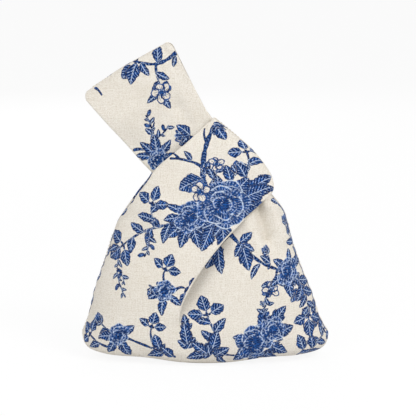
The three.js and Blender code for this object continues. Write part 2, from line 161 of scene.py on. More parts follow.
def colour(red, green, blue, name, description):
    """A property that holds a colour, given here as screen values from 0 to 255."""
    linear = [((v / 255 + 0.055) / 1.055) ** 2.4 for v in (red, green, blue)]
    return FloatVectorProperty(
        name=name, description=description, size=3, default=linear, min=0, max=1, subtype="COLOR"
    )


class KnotBagBody(bpy.types.PropertyGroup):
    """Sizes of the body, from the floor to the tops of its side seams."""

    half_width: length(106.8, "Half width", "Half the body's width where it is widest")
    half_depth: length(46, "Half depth", "Half the depth of the filled body")
    widest_height: length(21, "Widest height", "Height at which the body is widest")
    foot_half_width: length(102, "Foot half width", "The same at the height of the mouth's foot")
    base_seam: length(94, "Base seam", "Half the length of the base seam")
    corner_lift: length(4.4, "Corner lift", "How far the base's ends curl up off the floor")
    base_depth: length(27, "Base depth", "Half the depth of the flat base")
    bottom_round: length(15, "Bottom round", "Rounding from the base to the front")
    left_seam_top: place(74.5, 117, "Left seam top", "How far left, and how high, the left side seam ends")
    right_seam_top: place(67.5, 125, "Right seam top", "How far right, and how high, the right one ends")
    left_seam_swell: length(1.8, "Left seam swell", "How far the left side seam runs outside a straight line")
    right_seam_hollow: length(2.2, "Right seam hollow", "How far the right one runs inside a straight line")
    right_waist: length(3.8, "Right waist", "How far the right side draws in above its base corner")
    waist_height: length(35, "Waist height", "Height at which it draws in the most")
    waist_spread: length(17, "Waist spread", "How far above and below that it is felt")
    corner_slack: length(4, "Corner slack", "How far the unfilled corners lift the front's lower edge")
    slack_place: length(54, "Slack place", "Where the corners are slackest, from the middle")
    slack_spread: length(26, "Slack spread", "How far from there it is felt")
    collar_tuck: length(2.4, "Collar tuck", "How far the cloth draws in below the collar")
    mouth_foot: place(-23, 33, "Mouth foot", "Where the cut between the two handles starts")
    mouth_lap: length(2.6, "Mouth lap", "How far the left side laps over the right one near the foot")
    mouth_ease: length(30, "Mouth ease", "Length of the mouth curve's handles")
    hidden_edge: place(-26, 132, "Hidden edge", "Where the right side's edge nears the long handle's neck")


class KnotBagHandles(bpy.types.PropertyGroup):
    """Sizes of the short handle's band and of the long handle."""

    band_angle: angle(40.5, "Band angle", "Rise of the band to the right")
    collar: place(-45, 161, "Collar", "Where the long handle's lower edge comes out from under the band")
    collar_length: length(70.2, "Collar length", "Length of the band's upper edge from there to its fold")
    band_width: length(80.7, "Band width", "Width of the band at its fold")
    fold_lean: angle(4.4, "Fold lean", "Lean of the fold off square to the band")
    fold_bow: length(10.8, "Fold bow", "How far the fold bows out beyond a straight line")
    fold_run: length(10, "Fold run", "Length of the turn from front to back")
    band_lower_run: length(35, "Lower run", "Straight stretch of the band's lower edge")
    band_edge_depth: length(9, "Band edge depth", "Depth of the band's upper edge from the middle plane")
    corner_depth: length(5.2, "Corner depth", "The same where it reaches the fold")
    tip_inset: length(0.6, "Tip inset", "How far the panel's edge goes in under the fold's tip")
    tip_rise: length(1, "Tip rise", "How far up it does")
    tip_depth: length(6.5, "Tip depth", "Its depth from the middle plane there")
    neck_half_depth: length(3.8, "Neck half depth", "Half the depth of the long handle inside the band")
    neck_left_inset: length(-2.4, "Neck left inset", "From the collar's corner, along the band")
    neck_right_inset: length(4.6, "Neck right inset", "From the fold, along the band")
    neck_cut_left: place(-31.5, 144.5, "Neck cut left", "Where the neck leaves the front panel on the left")
    neck_cut_right: place(32.3, 170.5, "Neck cut right", "Where the neck leaves the front panel on the right")
    neck_flattens: length(15, "Neck flattens", "Length over which the neck flattens to the crease")
    crease_rise: length(9, "Crease rise", "Height above the band of the line that the loop folds on")
    crease_half_depth: length(2.7, "Crease half depth", "Half the depth of the handle on that line")
    edge_half_depth: length(1.4, "Edge half depth", "Half the handle's depth at its edges, near the crease")
    edge_reach: length(24, "Edge reach", "Distance from its edges over which it thins to that")
    loop_half_depth: length(8, "Loop half depth", "Half the depth of the loop at its end")
    loop_end_left: place(-104.2, 225.6, "Loop end left", "Left corner of the loop's end")
    loop_end_right: place(-30.3, 272.4, "Loop end right", "Right corner of the loop's end")
    loop_end_bow: length(0.8, "Loop end bow", "How far the loop's end bows out")
    loop_corner: length(6, "Loop corner", "Rounding of the loop's end corners")


class KnotBagCloth(bpy.types.PropertyGroup):
    """Thicknesses of the cloth, and how its edges and seams are made."""

    canvas: length(1.2, "Canvas", "Thickness of the printed canvas")
    lining: length(0.8, "Lining", "Thickness of the lining")
    ply_gap: length(0.3, "Ply gap", "From the canvas to the lining")
    edge_roll: length(1.7, "Edge roll", "Radius of the turned edges")
    lining_inset: length(2.2, "Lining inset", "How far the lining stays back from a turned edge")
    seam_gap: length(0.1, "Seam gap", "Between the two cloth edges that a seam joins")
    seam_draw: length(1.6, "Seam draw", "How far a seam draws the cloth in")
    seam_reach: length(6, "Seam reach", "How far from the seam that starts")
    stitch_length: length(2.3, "Stitch length", "Length of one stitch that shows")
    stitch_pitch: length(3.1, "Stitch pitch", "From one stitch to the next")
    thread_radius: length(0.36, "Thread radius", "Radius of the sewing thread")


class KnotBagColours(bpy.types.PropertyGroup):
    """Colours of the cloth, the print and the floor."""

    canvas: colour(238, 233, 224, "Canvas", "Unprinted canvas")
    slub: colour(196, 183, 161, "Slub", "Darker fibres in the canvas")
    ink: colour(30, 90, 168, "Ink", "The print's main blue")
    ink_dark: colour(2, 19, 57, "Dark ink", "The print's outlines and shaded places")
    ink_pale: colour(206, 221, 240, "Pale ink", "The print's ribs and light strokes")
    lining: colour(230, 222, 207, "Lining", "Plain lining")
    thread: colour(238, 232, 220, "Thread", "Sewing thread")
    floor: colour(250, 250, 250, "Floor", "Floor under the bag")


def measures(group):
    """A group's values, with lengths in millimetres."""
    found = SimpleNamespace()
    for name in group.__annotations__:
        scale = 1 / MM if group.bl_rna.properties[name].unit == "LENGTH" else 1
        setattr(found, name, np.array(getattr(group, name)) * scale)
    return found


# Lines and surfaces of the cloth


def mix(a, b, share):
    return a + (b - a) * share


def ramp(value, start, end):
    """0 up to start and 1 from end on, smooth between them."""
    t = np.clip((value - start) / (end - start), 0, 1)
    return t * t * (3 - 2 * t)


def bell(t):
    """1 at 0, and next to nothing beyond 2 on either side."""
    return np.exp(-(t**2))


def arch(share):
    """1 halfway, and 0 at both ends."""
    return 4 * share * (1 - share)


def heading(turn):
    return np.array([math.cos(turn), 0.0, math.sin(turn)])


def fullness(q):
    return np.sqrt(np.maximum(0, 1 - np.abs(q) ** SECTION_POWER))


def at_depth(spot, depth):
    return np.array([spot[0], -depth, spot[-1]])


def spline(points, where):
    """A smooth line through points that stand one apart, at places counted from the first."""
    points = np.asarray(points, float)
    padded = np.vstack([2 * points[0] - points[1], points, 2 * points[-1] - points[-2]])
    where = np.clip(where, 0, len(points) - 1)
    first = np.minimum(where.astype(int), len(points) - 2)
    t = (where - first)[..., None]
    before, start, end, after = (padded[first + k] for k in range(4))
    leave, arrive = (end - before) / 2, (after - start) / 2
    square = 3 * (end - start) - 2 * leave - arrive
    cube = 2 * (start - end) + leave + arrive
    return start + leave * t + square * t**2 + cube * t**3


def bezier(points, t):
    """A Bezier curve through its first and last points."""
    points = [np.asarray(p, float) for p in points]
    while len(points) > 1:
        points = [mix(a, b, t[..., None]) for a, b in zip(points, points[1:])]
    return points[0]


def spans(stretches):
    """Places from the first stretch's start to the last one's end, evenly spread in each."""
    parts = [np.linspace(start, end, steps + 1)[1:] for start, end, steps in stretches]
    return np.concatenate([[stretches[0][0]], *parts]).astype(float)


class Pattern:
    """Where the front's cloth runs, in millimetres."""

    def __init__(self, scene):
        self.body = measures(scene.knot_bag_body)
        self.handles = measures(scene.knot_bag_handles)
        self.cloth = measures(scene.knot_bag_cloth)
        h = self.handles
        self.half_seam = self.cloth.seam_gap / 2
        self.band_way = heading(h.band_angle)
        self.rise_way = heading(h.band_angle + math.pi / 2)
        self.fold_way = heading(h.band_angle - math.pi / 2 - h.fold_lean)
        self.collar = at_depth(h.collar, 0)
        self.fold_top = self.collar + self.band_way * h.collar_length
        self.fold_tip = self.fold_top + self.fold_way * h.band_width
        self.band_root = self.fold_tip - self.band_way * h.band_lower_run
        self.mouth_share = self.body.mouth_foot[0] / self.body.foot_half_width
        self.left = self.left_half()
        self.right = self.right_half()

    def seam(self, row, side):
        """A side seam's distance from the middle, and its height: a round corner, then up to its top."""
        b = self.body
        row = np.asarray(row, float)
        top, top_row, hollow = (
            (b.left_seam_top, ROW.left_seam_top, -b.left_seam_swell)
            if side < 0
            else (b.right_seam_top, ROW.right_seam_top, b.right_seam_hollow)
        )
        turn = np.clip(row / ROW.widest, 0, 1) * math.pi / 2
        low = np.clip(row - ROW.widest, 0, 1)
        share = np.clip((row - ROW.foot) / (top_row - ROW.foot), 0, None)
        corner = row <= ROW.widest
        x = mix(mix(b.half_width, b.foot_half_width, low), top[0], share) - hollow * arch(share)
        z = mix(mix(b.widest_height, b.mouth_foot[1], low), top[1], share)
        x = np.where(corner, mix(b.base_seam, b.half_width, np.sin(turn)), x)
        z = np.where(corner, mix(b.widest_height, b.corner_lift, np.cos(turn)), z)
        waist = b.right_waist * bell((z - b.waist_height) / b.waist_spread) if side > 0 else 0
        return x - waist, z

    def seam_line(self, side):
        def line(row):
            x, z = self.seam(row, side)
            return np.stack([side * x, np.full_like(x, -self.half_seam), z], -1)

        return line

    def middle(self, row):
        """Depth and height of the body's front from the base seam up to the mouth's foot."""
        b, c = self.body, self.cloth
        turn = np.clip((row - ROW.round) / (ROW.wall - ROW.round), 0, 1) * math.pi / 2
        share = (row - ROW.wall) / (ROW.foot - ROW.wall)
        stretch = [row <= ROW.flat, row <= ROW.round, row <= ROW.wall]
        depths = [
            mix(self.half_seam, c.seam_reach, row),
            mix(c.seam_reach, b.base_depth, row - ROW.flat),
            mix(b.base_depth, b.half_depth, np.sin(turn)),
        ]
        heights = [c.seam_draw * (1 - row) ** 2, 0 * row, b.bottom_round * (1 - np.cos(turn))]
        depth = np.select(stretch, depths, b.half_depth * mix(1, FOOT_SHARE, share**2))
        return depth, np.select(stretch, heights, mix(b.bottom_round, b.mouth_foot[1], share))

    def mouth_below_foot(self, row):
        row = np.asarray(row, float)
        depth, z = self.middle(row)
        x = self.mouth_share * self.seam(row, 1)[0]
        return np.stack([x, -np.maximum(self.half_seam, depth * fullness(self.mouth_share)), z], -1)

    def mouth_at(self, row):
        """The lower edge of the left half, in the middle plane."""
        foot = at_depth(self.body.mouth_foot, 0)
        ease_in = foot + [0, 0, self.body.mouth_ease]
        ease_out = self.band_root - self.band_way * self.body.mouth_ease
        share = np.array((row - ROW.foot) / (ROW.band - ROW.foot))
        return bezier([foot, ease_in, ease_out, self.band_root], share)

    def guide(self, below, points):
        return lambda row: np.where((row <= ROW.foot)[..., None], below(row), spline(points, row - ROW.foot))

    def half(self, side, top_row, edge, mouth, crown):
        depth = self.body.half_depth
        crown_points = np.array([[share * depth] for share in crown])
        rows, shares = (spans(stretches) for stretches in HALF_SPANS[side])
        return SimpleNamespace(
            side=side,
            rows=rows,
            shares=shares,
            slit=-side * self.mouth_share,
            seam_top=top_row,
            edge=self.guide(self.seam_line(side), edge),
            mouth=self.guide(self.mouth_below_foot, mouth),
            crown=lambda row: np.where(
                row <= ROW.foot, self.middle(row)[0], spline(crown_points, row - ROW.foot)[..., 0]
            ),
        )

    def left_half(self):
        h = self.handles
        seam = self.seam_line(-1)
        start_top = self.fold_top - self.band_way * h.fold_run
        start_tip = self.fold_tip - self.band_way * h.fold_run
        edge = [seam(row) for row in range(ROW.foot, ROW.left_seam_top + 1)]
        led = [mix(edge[-1], self.collar, TO_COLLAR), self.collar]
        led += [mix(self.collar, start_top, TO_FOLD), start_top]
        edge += [at_depth(spot, h.band_edge_depth) for spot in led]
        lower = [self.mouth_at(row) for row in range(ROW.foot + 1, ROW.band)]
        lower += [self.band_root, (self.band_root + start_tip) / 2, start_tip]
        mouth = [self.mouth_below_foot(ROW.foot)]
        mouth += [at_depth(p, s * self.body.half_depth) for p, s in zip(lower, LEFT_MOUTH_SHARES)]
        return self.half(-1, ROW.left_seam_top, edge, mouth, LEFT_CROWN_SHARES)

    def right_half(self):
        h, body = self.handles, self.body
        seam = self.seam_line(1)
        under_tip = self.fold_tip - self.band_way * h.tip_inset - self.fold_way * h.tip_rise
        edge = [seam(row) for row in range(ROW.foot, ROW.right_seam_top + 1)]
        edge += [at_depth(under_tip, h.tip_depth), at_depth(h.neck_cut_right, h.neck_half_depth)]
        foot, hidden_top = at_depth(body.mouth_foot, 0), at_depth(body.hidden_edge, 0)
        hidden = [self.mouth_at(ROW.foot + 1) - [body.mouth_lap, 0, 0]]
        hidden += [mix(foot, hidden_top, share) for share in HIDDEN_EDGE_STEPS] + [hidden_top]
        mouth = [self.mouth_below_foot(ROW.foot)]
        mouth += [at_depth(p, s * body.half_depth) for p, s in zip(hidden, RIGHT_MOUTH_SHARES)]
        mouth += [at_depth(h.neck_cut_left, h.neck_half_depth)]
        return self.half(1, ROW.right_seam_top, edge, mouth, RIGHT_CROWN_SHARES)

    def fold_bow(self, share):
        past = np.clip((share - FOLD_BOW_PEAK) / (1 - FOLD_BOW_PEAK), 0, 1)
        before = np.sin(math.pi / 2 * np.clip(share / FOLD_BOW_PEAK, 0, 1))
        return self.handles.fold_bow * np.where(share < FOLD_BOW_PEAK, before, np.sqrt(1 - past**2))

    def half_surface(self, half, share, row):
        """Points of a half, at shares of its width from its outer edge and at rows."""
        share, row = np.broadcast_arrays(share, row)
        level = np.minimum(row, ROW.fold)
        q = -np.cos(share * math.acos(-half.slit))
        across = (1 + q) / (1 + half.slit)
        edge, mouth = half.edge(level), half.mouth(level)
        flat_ends = (np.maximum(0, -q - BASE_FLAT_SHARE) / (1 - BASE_FLAT_SHARE)) ** 2
        lift = mix(flat_ends, 1 - across, np.clip(level - ROW.foot, 0, 1))
        p = mix(edge, mouth, across[..., None])
        p[..., 1] -= half.crown(level) * (fullness(q) - fullness(half.slit) * across)
        p[..., 2] = mix(mouth[..., 2], edge[..., 2], lift)
        bow = self.fold_bow(across)
        if half.side < 0:
            reached = np.maximum(0, level - ROW.band) / (ROW.fold - ROW.band) / 2
            p += (bow * reached)[..., None] * self.band_way
            p[..., 0] += self.body.collar_tuck * bell((level - TUCK_ROW) / TUCK_ROWS) * (1 - across) ** 3
            pinch = ramp(level, PINCH_ROW, ROW.fold) * ramp(across, PINCH_SHARE, 0)
            p[..., 1] = mix(p[..., 1], -self.handles.corner_depth, pinch)
        drawn = np.maximum(0, 1 + p[..., 1] / self.cloth.seam_reach) ** 2
        drawn = drawn * np.clip(half.seam_top - level, 0, 1) * (1 - across)
        p[..., 0] -= half.side * self.cloth.seam_draw * drawn
        if half.side < 0:
            turn = np.clip(row - ROW.fold, 0, 1) * math.pi / 2
            out = bow - self.cloth.seam_draw * np.maximum(0, 1 - 2 * np.cos(turn))
            top = self.fold_top + self.fold_way * (across * self.handles.band_width)[..., None]
            top = top + self.band_way * out[..., None]
            p[..., 0] = mix(p[..., 0], top[..., 0], np.sin(turn))
            p[..., 2] = mix(p[..., 2], top[..., 2], np.sin(turn))
            p[..., 1] = mix(-self.half_seam, p[..., 1], np.cos(turn))
        return p

    def rise_of(self, spot):
        return (at_depth(spot, 0) - self.collar) @ self.rise_way - self.handles.crease_rise

    def handle_edge(self, inset, end, cut, height):
        """An edge of the long handle at heights above its crease: straight above it, and straight below."""
        below = self.collar + self.band_way * inset
        end_rise = self.rise_of(end)
        lift = self.handles.crease_rise
        crease = mix(below, at_depth(end, 0), lift / (end_rise + lift))
        up = mix(crease, at_depth(end, 0), (height / end_rise)[..., None])
        down = mix(crease, at_depth(cut, 0), (height / self.rise_of(cut))[..., None])
        return np.where((height >= 0)[..., None], up, down)

    def handle_surface(self, share, travel):
        """Points of the long handle: cut at travel -1, crease at 0, and the turn at its end from 1 to 2."""
        h = self.handles
        share, travel = np.broadcast_arrays(share, travel)
        left_rise, right_rise = self.rise_of(h.loop_end_left), self.rise_of(h.loop_end_right)
        bow = h.loop_end_bow * arch(share)
        turn_rise = mix(left_rise, right_rise, share) + bow - h.loop_half_depth
        cut_rise = mix(self.rise_of(h.neck_cut_left), self.rise_of(h.neck_cut_right), share)
        turn = np.clip(travel - 1, 0, 1) * math.pi / 2
        draw = self.cloth.seam_draw * np.maximum(0, 1 - 2 * np.cos(turn))
        height = np.where(travel < 0, -travel * cut_rise, np.minimum(travel, 1) * turn_rise)
        opened = ramp(height, 0, turn_rise * LOOP_OPEN_SHARE)
        pinched = ramp(height, NECK_FLAT - h.neck_flattens, NECK_FLAT)
        depth = np.where(
            height < 0,
            mix(h.neck_half_depth, h.crease_half_depth, pinched),
            mix(h.crease_half_depth, h.loop_half_depth, opened),
        )
        end_width = np.linalg.norm(h.loop_end_right - h.loop_end_left)
        from_edge = np.minimum(share, 1 - share) * end_width
        thin = ramp(from_edge, h.edge_reach, 0) * ramp(height, *THIN_EDGE_HEIGHTS)
        depth = mix(depth, np.minimum(depth, h.edge_half_depth), thin)
        height = height + h.loop_half_depth * np.sin(turn) - draw
        inset = h.loop_corner * (1 - np.cos(turn)) / end_width
        kept = mix(inset, 1 - inset, share)
        left = self.handle_edge(h.neck_left_inset, h.loop_end_left, h.neck_cut_left, height)
        right_inset = h.collar_length - h.neck_right_inset
        right = self.handle_edge(right_inset, h.loop_end_right, h.neck_cut_right, height)
        p = mix(left, right, kept[..., None])
        p[..., 1] = -mix(self.half_seam, depth, np.cos(turn))
        return p


# Soft shapes that filling and handling leave in the cloth

# Soft lines that are pressed in or stand out: how far out, where from, where to and how wide
LEFT_LINES = (
    (-0.9, (-60, 128), (-52, 84), 8),
    (0.8, (-42, 138), (-30, 96), 9),
    (-1.0, (-36, 160), (-4, 171), 7),
)
RIGHT_LINES = (
    (-7.0, (44, 134), (53, 108), 4.2),
    (-2.4, (55, 104), (61, 92), 5),
    (2.8, (35, 120), (46, 98), 6),
    (3.2, (56, 130), (67, 104), 4.6),
)
HANDLE_LINES = (
    (-1.7, (-13, 199), (-22, 214), 5.5),
    (-1.6, (-22, 214), (-34, 232), 7),
    (-0.9, (-36, 176), (-50, 204), 8),
    (-0.7, (-35, 266), (-25, 246), 1.8),
)

# The dip of the right half beside the mouth's lip, and the rows at which the lip is followed
LIP_DIP = 4.5
LIP_WIDTH = 11
LIP_ROWS = (6.1, 9.6, 15)
LIP_HEIGHTS = (36, 62)

# Heights, and depths from the middle plane, over which the swells, slack corners and puckers come and go
SWELL_HEIGHTS = (3, 19)
SLACK_HEIGHTS = (28, 4)
SLACK_DEPTHS = (6, 18)
PUCKER = 0.4
PUCKER_DEPTH = 8
PUCKER_FOOT = (14, 24)
PUCKER_TOP = (112, 100)


def soft_line(x, z, start, end, width):
    """1 along a line from start to end, falling to 0 at about its width."""
    start, end = np.array(start, float), np.array(end, float)
    run = end - start
    t = np.clip(((x - start[0]) * run[0] + (z - start[1]) * run[1]) / (run @ run), 0, 1)
    gap = np.hypot(x - start[0] - t * run[0], z - start[1] - t * run[1])
    return bell(gap / width)


def pressed(x, z, lines):
    return sum(out * soft_line(x, z, start, end, width) for out, start, end, width in lines)


def panel_relief(pattern, half, p):
    """How far a panel's cloth stands out of its plain surface, or in."""
    x, y, z = np.moveaxis(p, -1, 0)
    body = pattern.body
    swell = 0.75 * np.sin(x / 17 + z / 31 + 0.6) * np.sin(z / 23 - x / 47 + 1.9)
    swell += 0.4 * np.sin(x / 10 - z / 13 + 2.2) * np.sin(z / 17 + x / 29)
    lift = swell * ramp(z, *SWELL_HEIGHTS)
    slack = bell((np.abs(x) - body.slack_place) / body.slack_spread)
    lift -= body.corner_slack * slack * ramp(z, *SLACK_HEIGHTS) * ramp(np.abs(y), *SLACK_DEPTHS)
    pucker = np.sin(z / 1.45 + 0.9 * np.sin(z / 7)) * bell(y / PUCKER_DEPTH)
    lift += PUCKER * pucker * ramp(z, *PUCKER_TOP) * ramp(z, *PUCKER_FOOT)
    if half.side < 0:
        return lift + pressed(x, z, LEFT_LINES)
    lip = [pattern.mouth_at(row)[[0, 2]] for row in np.linspace(*LIP_ROWS)]
    beside = np.maximum.reduce([soft_line(x, z, a, b, LIP_WIDTH) for a, b in zip(lip, lip[1:])])
    return lift + pressed(x, z, RIGHT_LINES) - LIP_DIP * beside * ramp(z, *LIP_HEIGHTS)


def handle_relief(p):
    """How far the long handle's cloth stands out of its plain surface, or in."""
    x, _, z = np.moveaxis(p, -1, 0)
    swell = 0.55 * np.sin(x / 13 + z / 19 + 0.4) * np.sin(z / 15 - x / 31 + 1.2)
    return swell + pressed(x, z, HANDLE_LINES)


# Nets of points that become meshes

# Depth in the ink where there is none, and the least height above the floor
NO_INK = -9.0
FLOOR_GAP = 0.02


def outward(points, sign):
    """Directions square to a net of points."""
    normal = np.cross(np.gradient(points, axis=1), np.gradient(points, axis=0)) * sign
    return normal / np.maximum(np.linalg.norm(normal, axis=-1, keepdims=True), 1e-9)


def runs(points, axis):
    """Lengths along a net's lines, from where each starts."""
    steps = np.linalg.norm(np.diff(points, axis=axis), axis=-1)
    return np.insert(np.cumsum(steps, axis=axis), 0, 0, axis=axis)


def to_end(points):
    """Lengths along a net's columns, to where each ends."""
    return runs(points[::-1], 0)[::-1]


def rolled(distance, radius):
    """How far a turned edge has dropped, at a distance from it."""
    left = np.maximum(0, radius - distance)
    return radius - np.sqrt(radius**2 - left**2)


def new_piece(name, points, faces):
    """A smoothly shaded object, from points in millimetres."""
    mesh = bpy.data.meshes.new(name)
    mesh.from_pydata((points * MM).tolist(), [], faces)
    mesh.polygons.foreach_set("use_smooth", np.ones(len(mesh.polygons), bool))
    piece = bpy.data.objects.new(name, mesh)
    bpy.context.scene.collection.objects.link(piece)
    return piece


class Net:
    """Points and faces of one piece, with what its material reads at each point."""

    def __init__(self):
        self.count = 0
        self.points, self.flat, self.ink, self.motif = [], [], [], []
        self.faces = []
        self.mouths = []

    def add(self, points, flat, ink=None, motif=None):
        """Adds points, and returns their numbers in the same arrangement."""
        shape = points.shape[:-1]
        total = int(np.prod(shape))
        self.points.append(points.reshape(-1, 3))
        self.flat.append(flat.reshape(-1, 2))
        self.ink.append(np.full(total, NO_INK) if ink is None else ink.reshape(-1))
        self.motif.append(np.zeros((total, 3)) if motif is None else motif.reshape(-1, 3))
        self.count += total
        return np.arange(self.count - total, self.count).reshape(shape)

    def quads(self, ids, flip):
        corners = [ids[:-1, :-1], ids[:-1, 1:], ids[1:, 1:], ids[1:, :-1]]
        if flip:
            corners.reverse()
        self.faces += np.stack([c.ravel() for c in corners], -1).tolist()

    def rim(self, outer, inner, flip):
        """Closes the gap between two edges that run the same way, the inner one as fine or coarser."""
        if flip:
            outer, inner = outer[::-1], inner[::-1]
        ratio = (len(outer) - 1) // (len(inner) - 1)
        halfway = ratio // 2
        for k in range(len(inner) - 1):
            a, b = int(inner[k]), int(inner[k + 1])
            part = [int(v) for v in outer[k * ratio : (k + 1) * ratio + 1]]
            for i in range(ratio):
                self.faces.append([part[i + 1], part[i], a if i < halfway else b])
            self.faces.append([part[halfway], a, b])

    def close(self, outer, inner, foot, flip):
        """Both faces of a stretch of cloth, and the rim round them.

        A second stretch shares its last column with the first one's up to the foot, so the rim starts there.
        """
        feet = (foot, foot * (len(inner) - 1) // (len(outer) - 1))
        for ids, mouth, row in zip((outer, inner), self.mouths, feet):
            ids[: row + 1, -1] = mouth[: row + 1]
        self.mouths = [outer[:, -1].copy(), inner[:, -1].copy()]
        self.quads(outer, flip)
        self.quads(inner, not flip)
        self.rim(outer[0], inner[0], flip)
        self.rim(outer[-1], inner[-1], not flip)
        self.rim(outer[:, 0], inner[:, 0], not flip)
        self.rim(outer[feet[0] :, -1], inner[feet[1] :, -1], flip)

    def mesh(self, name, mirrored):
        """The piece's object, on the front or mirrored to the back."""
        points = np.vstack(self.points)
        faces = self.faces
        if mirrored:
            points = points * [1, -1, 1]
            faces = [face[::-1] for face in faces]
        piece = new_piece(name, points, faces)
        mesh = piece.data
        corner_points = np.zeros(len(mesh.loops), np.int32)
        mesh.loops.foreach_get("vertex_index", corner_points)
        flat = np.vstack(self.flat)[corner_points] * MM
        mesh.uv_layers.new(name="cloth").data.foreach_set("uv", flat.astype(np.float32).ravel())
        ink = mesh.attributes.new("ink", "FLOAT", "POINT")
        ink.data.foreach_set("value", np.concatenate(self.ink).astype(np.float32))
        motif = mesh.attributes.new("motif", "FLOAT_VECTOR", "POINT")
        motif.data.foreach_set("vector", np.vstack(self.motif).astype(np.float32).ravel())
        mesh.update()
        return piece


def sunk(pattern, points, ways, depth):
    """Points moved into the cloth, kept in front of the middle plane and above the floor."""
    points = points - ways * np.asarray(depth)[..., None]
    points[..., 1] = np.minimum(points[..., 1], -pattern.half_seam)
    points[..., 2] = np.maximum(points[..., 2], FLOOR_GAP)
    return points


def thinned(net):
    return net[::COARSE, ::COARSE]


def flat_panel(pattern, half, points):
    """The mouth's foot in a half's rows, and where its points lie when the cloth is laid flat.

    The mouth's own line is laid out first, and each row from there outwards.
    """
    foot = int(np.argmin(np.abs(half.rows - ROW.foot)))
    down = np.diff(points[:, -1], axis=0)
    steps = np.stack([down[:, 0], np.hypot(down[:, 1], down[:, 2])], -1)
    mouth = np.insert(np.cumsum(steps, axis=0), 0, 0, axis=0)
    mouth = (mouth - mouth[foot] + pattern.body.mouth_foot)[:, None]
    step = points[:, :-1] - points[:, 1:]
    across = half.side * np.hypot(step[..., 0], step[..., 1])
    out = np.cumsum(np.stack([across, step[..., 2]], -1)[:, ::-1], axis=1)[:, ::-1]
    return foot, np.concatenate([mouth + out, mouth], axis=1)


def panel_half(pattern, half, shares):
    """A half's surface with its soft shapes, its outward directions and how far its turned edges drop."""
    row = half.rows[:, None]
    points = pattern.half_surface(half, shares, row)
    from_edge = runs(points, 1)
    free = ramp(row - half.seam_top, *FREE_ROWS)
    calm = mix(ramp(from_edge, 0, SEAM_CALM), ramp(from_edge, 0, EDGE_CALM), free)
    if half.side < 0:
        calm = calm * ramp(to_end(points), 0, SEAM_CALM)
    relief = panel_relief(pattern, half, points) * calm
    points = points + outward(points, -half.side) * relief[..., None]
    along = runs(points, 1)
    radius = pattern.cloth.edge_roll
    drop = rolled(along, radius) * ramp(row - half.seam_top, *EDGE_ROLL_ROWS)
    drop = drop + rolled(along[:, -1:] - along, radius) * ramp(row - ROW.foot, *MOUTH_ROLL_ROWS)
    return points, outward(points, -half.side), drop


def canvas_face(pattern, half):
    """The outer face of a half's canvas, as it is seen."""
    return sunk(pattern, *panel_half(pattern, half, half.shares))


def panel_canvas(pattern, print_on):
    """The net of a panel's printed canvas: a fine outer face, a coarser inner one and a rim."""
    net = Net()
    for half in (pattern.left, pattern.right):
        points, ways, drop = panel_half(pattern, half, half.shares)
        foot, flat = flat_panel(pattern, half, points)
        inner = sunk(pattern, points, ways, pattern.cloth.canvas + INNER_ROLL * drop)
        fine = net.add(sunk(pattern, points, ways, drop), flat, *print_on(half, flat))
        coarse = net.add(thinned(inner), thinned(flat))
        net.close(fine, coarse, foot, half.side > 0)
    return net


def panel_lining(pattern):
    """The net of a panel's lining, which stays back from the turned edges."""
    net = Net()
    cloth = pattern.cloth
    near = cloth.canvas + cloth.ply_gap
    for half in (pattern.left, pattern.right):
        row = half.rows[:, None]
        past_foot = row - ROW.foot
        inset = cloth.lining_inset / HALF_WIDTHS[half.side]
        low = inset * ramp(row - half.seam_top, *LINING_EDGE_ROWS)
        room = 1 + FOOT_ROOM * bell((past_foot - FOOT_ROOM_ROW) / FOOT_ROOM_ROWS)
        high = 1 - inset * ramp(past_foot, *LINING_MOUTH_ROWS) * room
        points, ways, _ = panel_half(pattern, half, mix(low, high, half.shares[None]))
        foot, flat = flat_panel(pattern, half, points)
        faces = []
        for depth in (near, near + cloth.lining):
            faces.append(net.add(thinned(sunk(pattern, points, ways, depth)), thinned(flat)))
        net.close(*faces, foot // COARSE, half.side > 0)
    return net


def handle_face(pattern, shares):
    """The long handle's surface with its soft shapes, and its outward directions."""
    points = pattern.handle_surface(shares, spans(HANDLE_TRAVEL_SPANS)[:, None])
    relief = handle_relief(points) * ramp(to_end(points), 0, SEAM_CALM)
    points = points + outward(points, 1) * relief[..., None]
    return points, outward(points, 1)


def handle_net(pattern, near, thickness, roll, print_on=None):
    """The net of one ply of the long handle, from its cut inside the band to the seam at its end."""
    net = Net()
    inset = 0 if roll else pattern.cloth.lining_inset / pattern.handles.band_width
    shares = mix(inset, 1 - inset, spans(HANDLE_SHARE_SPANS))
    travel = spans(HANDLE_TRAVEL_SPANS)[:, None]
    points, ways = handle_face(pattern, shares)
    along = runs(points, 1)
    radius = pattern.cloth.edge_roll
    drop = rolled(along, radius) + rolled(along[:, -1:] - along, radius)
    drop = drop * roll * ramp(travel, *LOOP_ROLL_TRAVEL)
    flat = points[..., [0, 2]]
    hidden_run = runs(points, 0) - runs(flat, 0)
    flat = flat + hidden_run[..., None] * pattern.rise_way[[0, 2]]
    printed = print_on(flat) if print_on else ()
    inner = sunk(pattern, points, ways, near + thickness + INNER_ROLL * drop)
    fine = net.add(sunk(pattern, points, ways, near + drop), flat, *printed)
    coarse = net.add(thinned(inner), thinned(flat))
    net.close(fine, coarse, 0, False)
    return net


# The print: blue flowers, leaves and twigs

# Kinds of shape, as the material reads them
LEAF, PETAL, TWIG, OPEN_PETAL = 0.0, 1.0, 2.0, 3.0

# Steps of a stem's curve, the bare line beside a stem, how far outside a shape's edge a place still belongs
# to it, and the size above which a leaf has lobes
STEM_STEPS = 24
STEM_GAP = 0.4
BELONGS = 0.25
LOBED_SIZE = 17

# The bare strip along the mouth's lip, and how far the back's cloth is shifted against the front's
BARE_LIP = 1.3
BACK_PANEL_SHIFT = (-20, 0)
BACK_HANDLE_SHIFT = (8, 18)

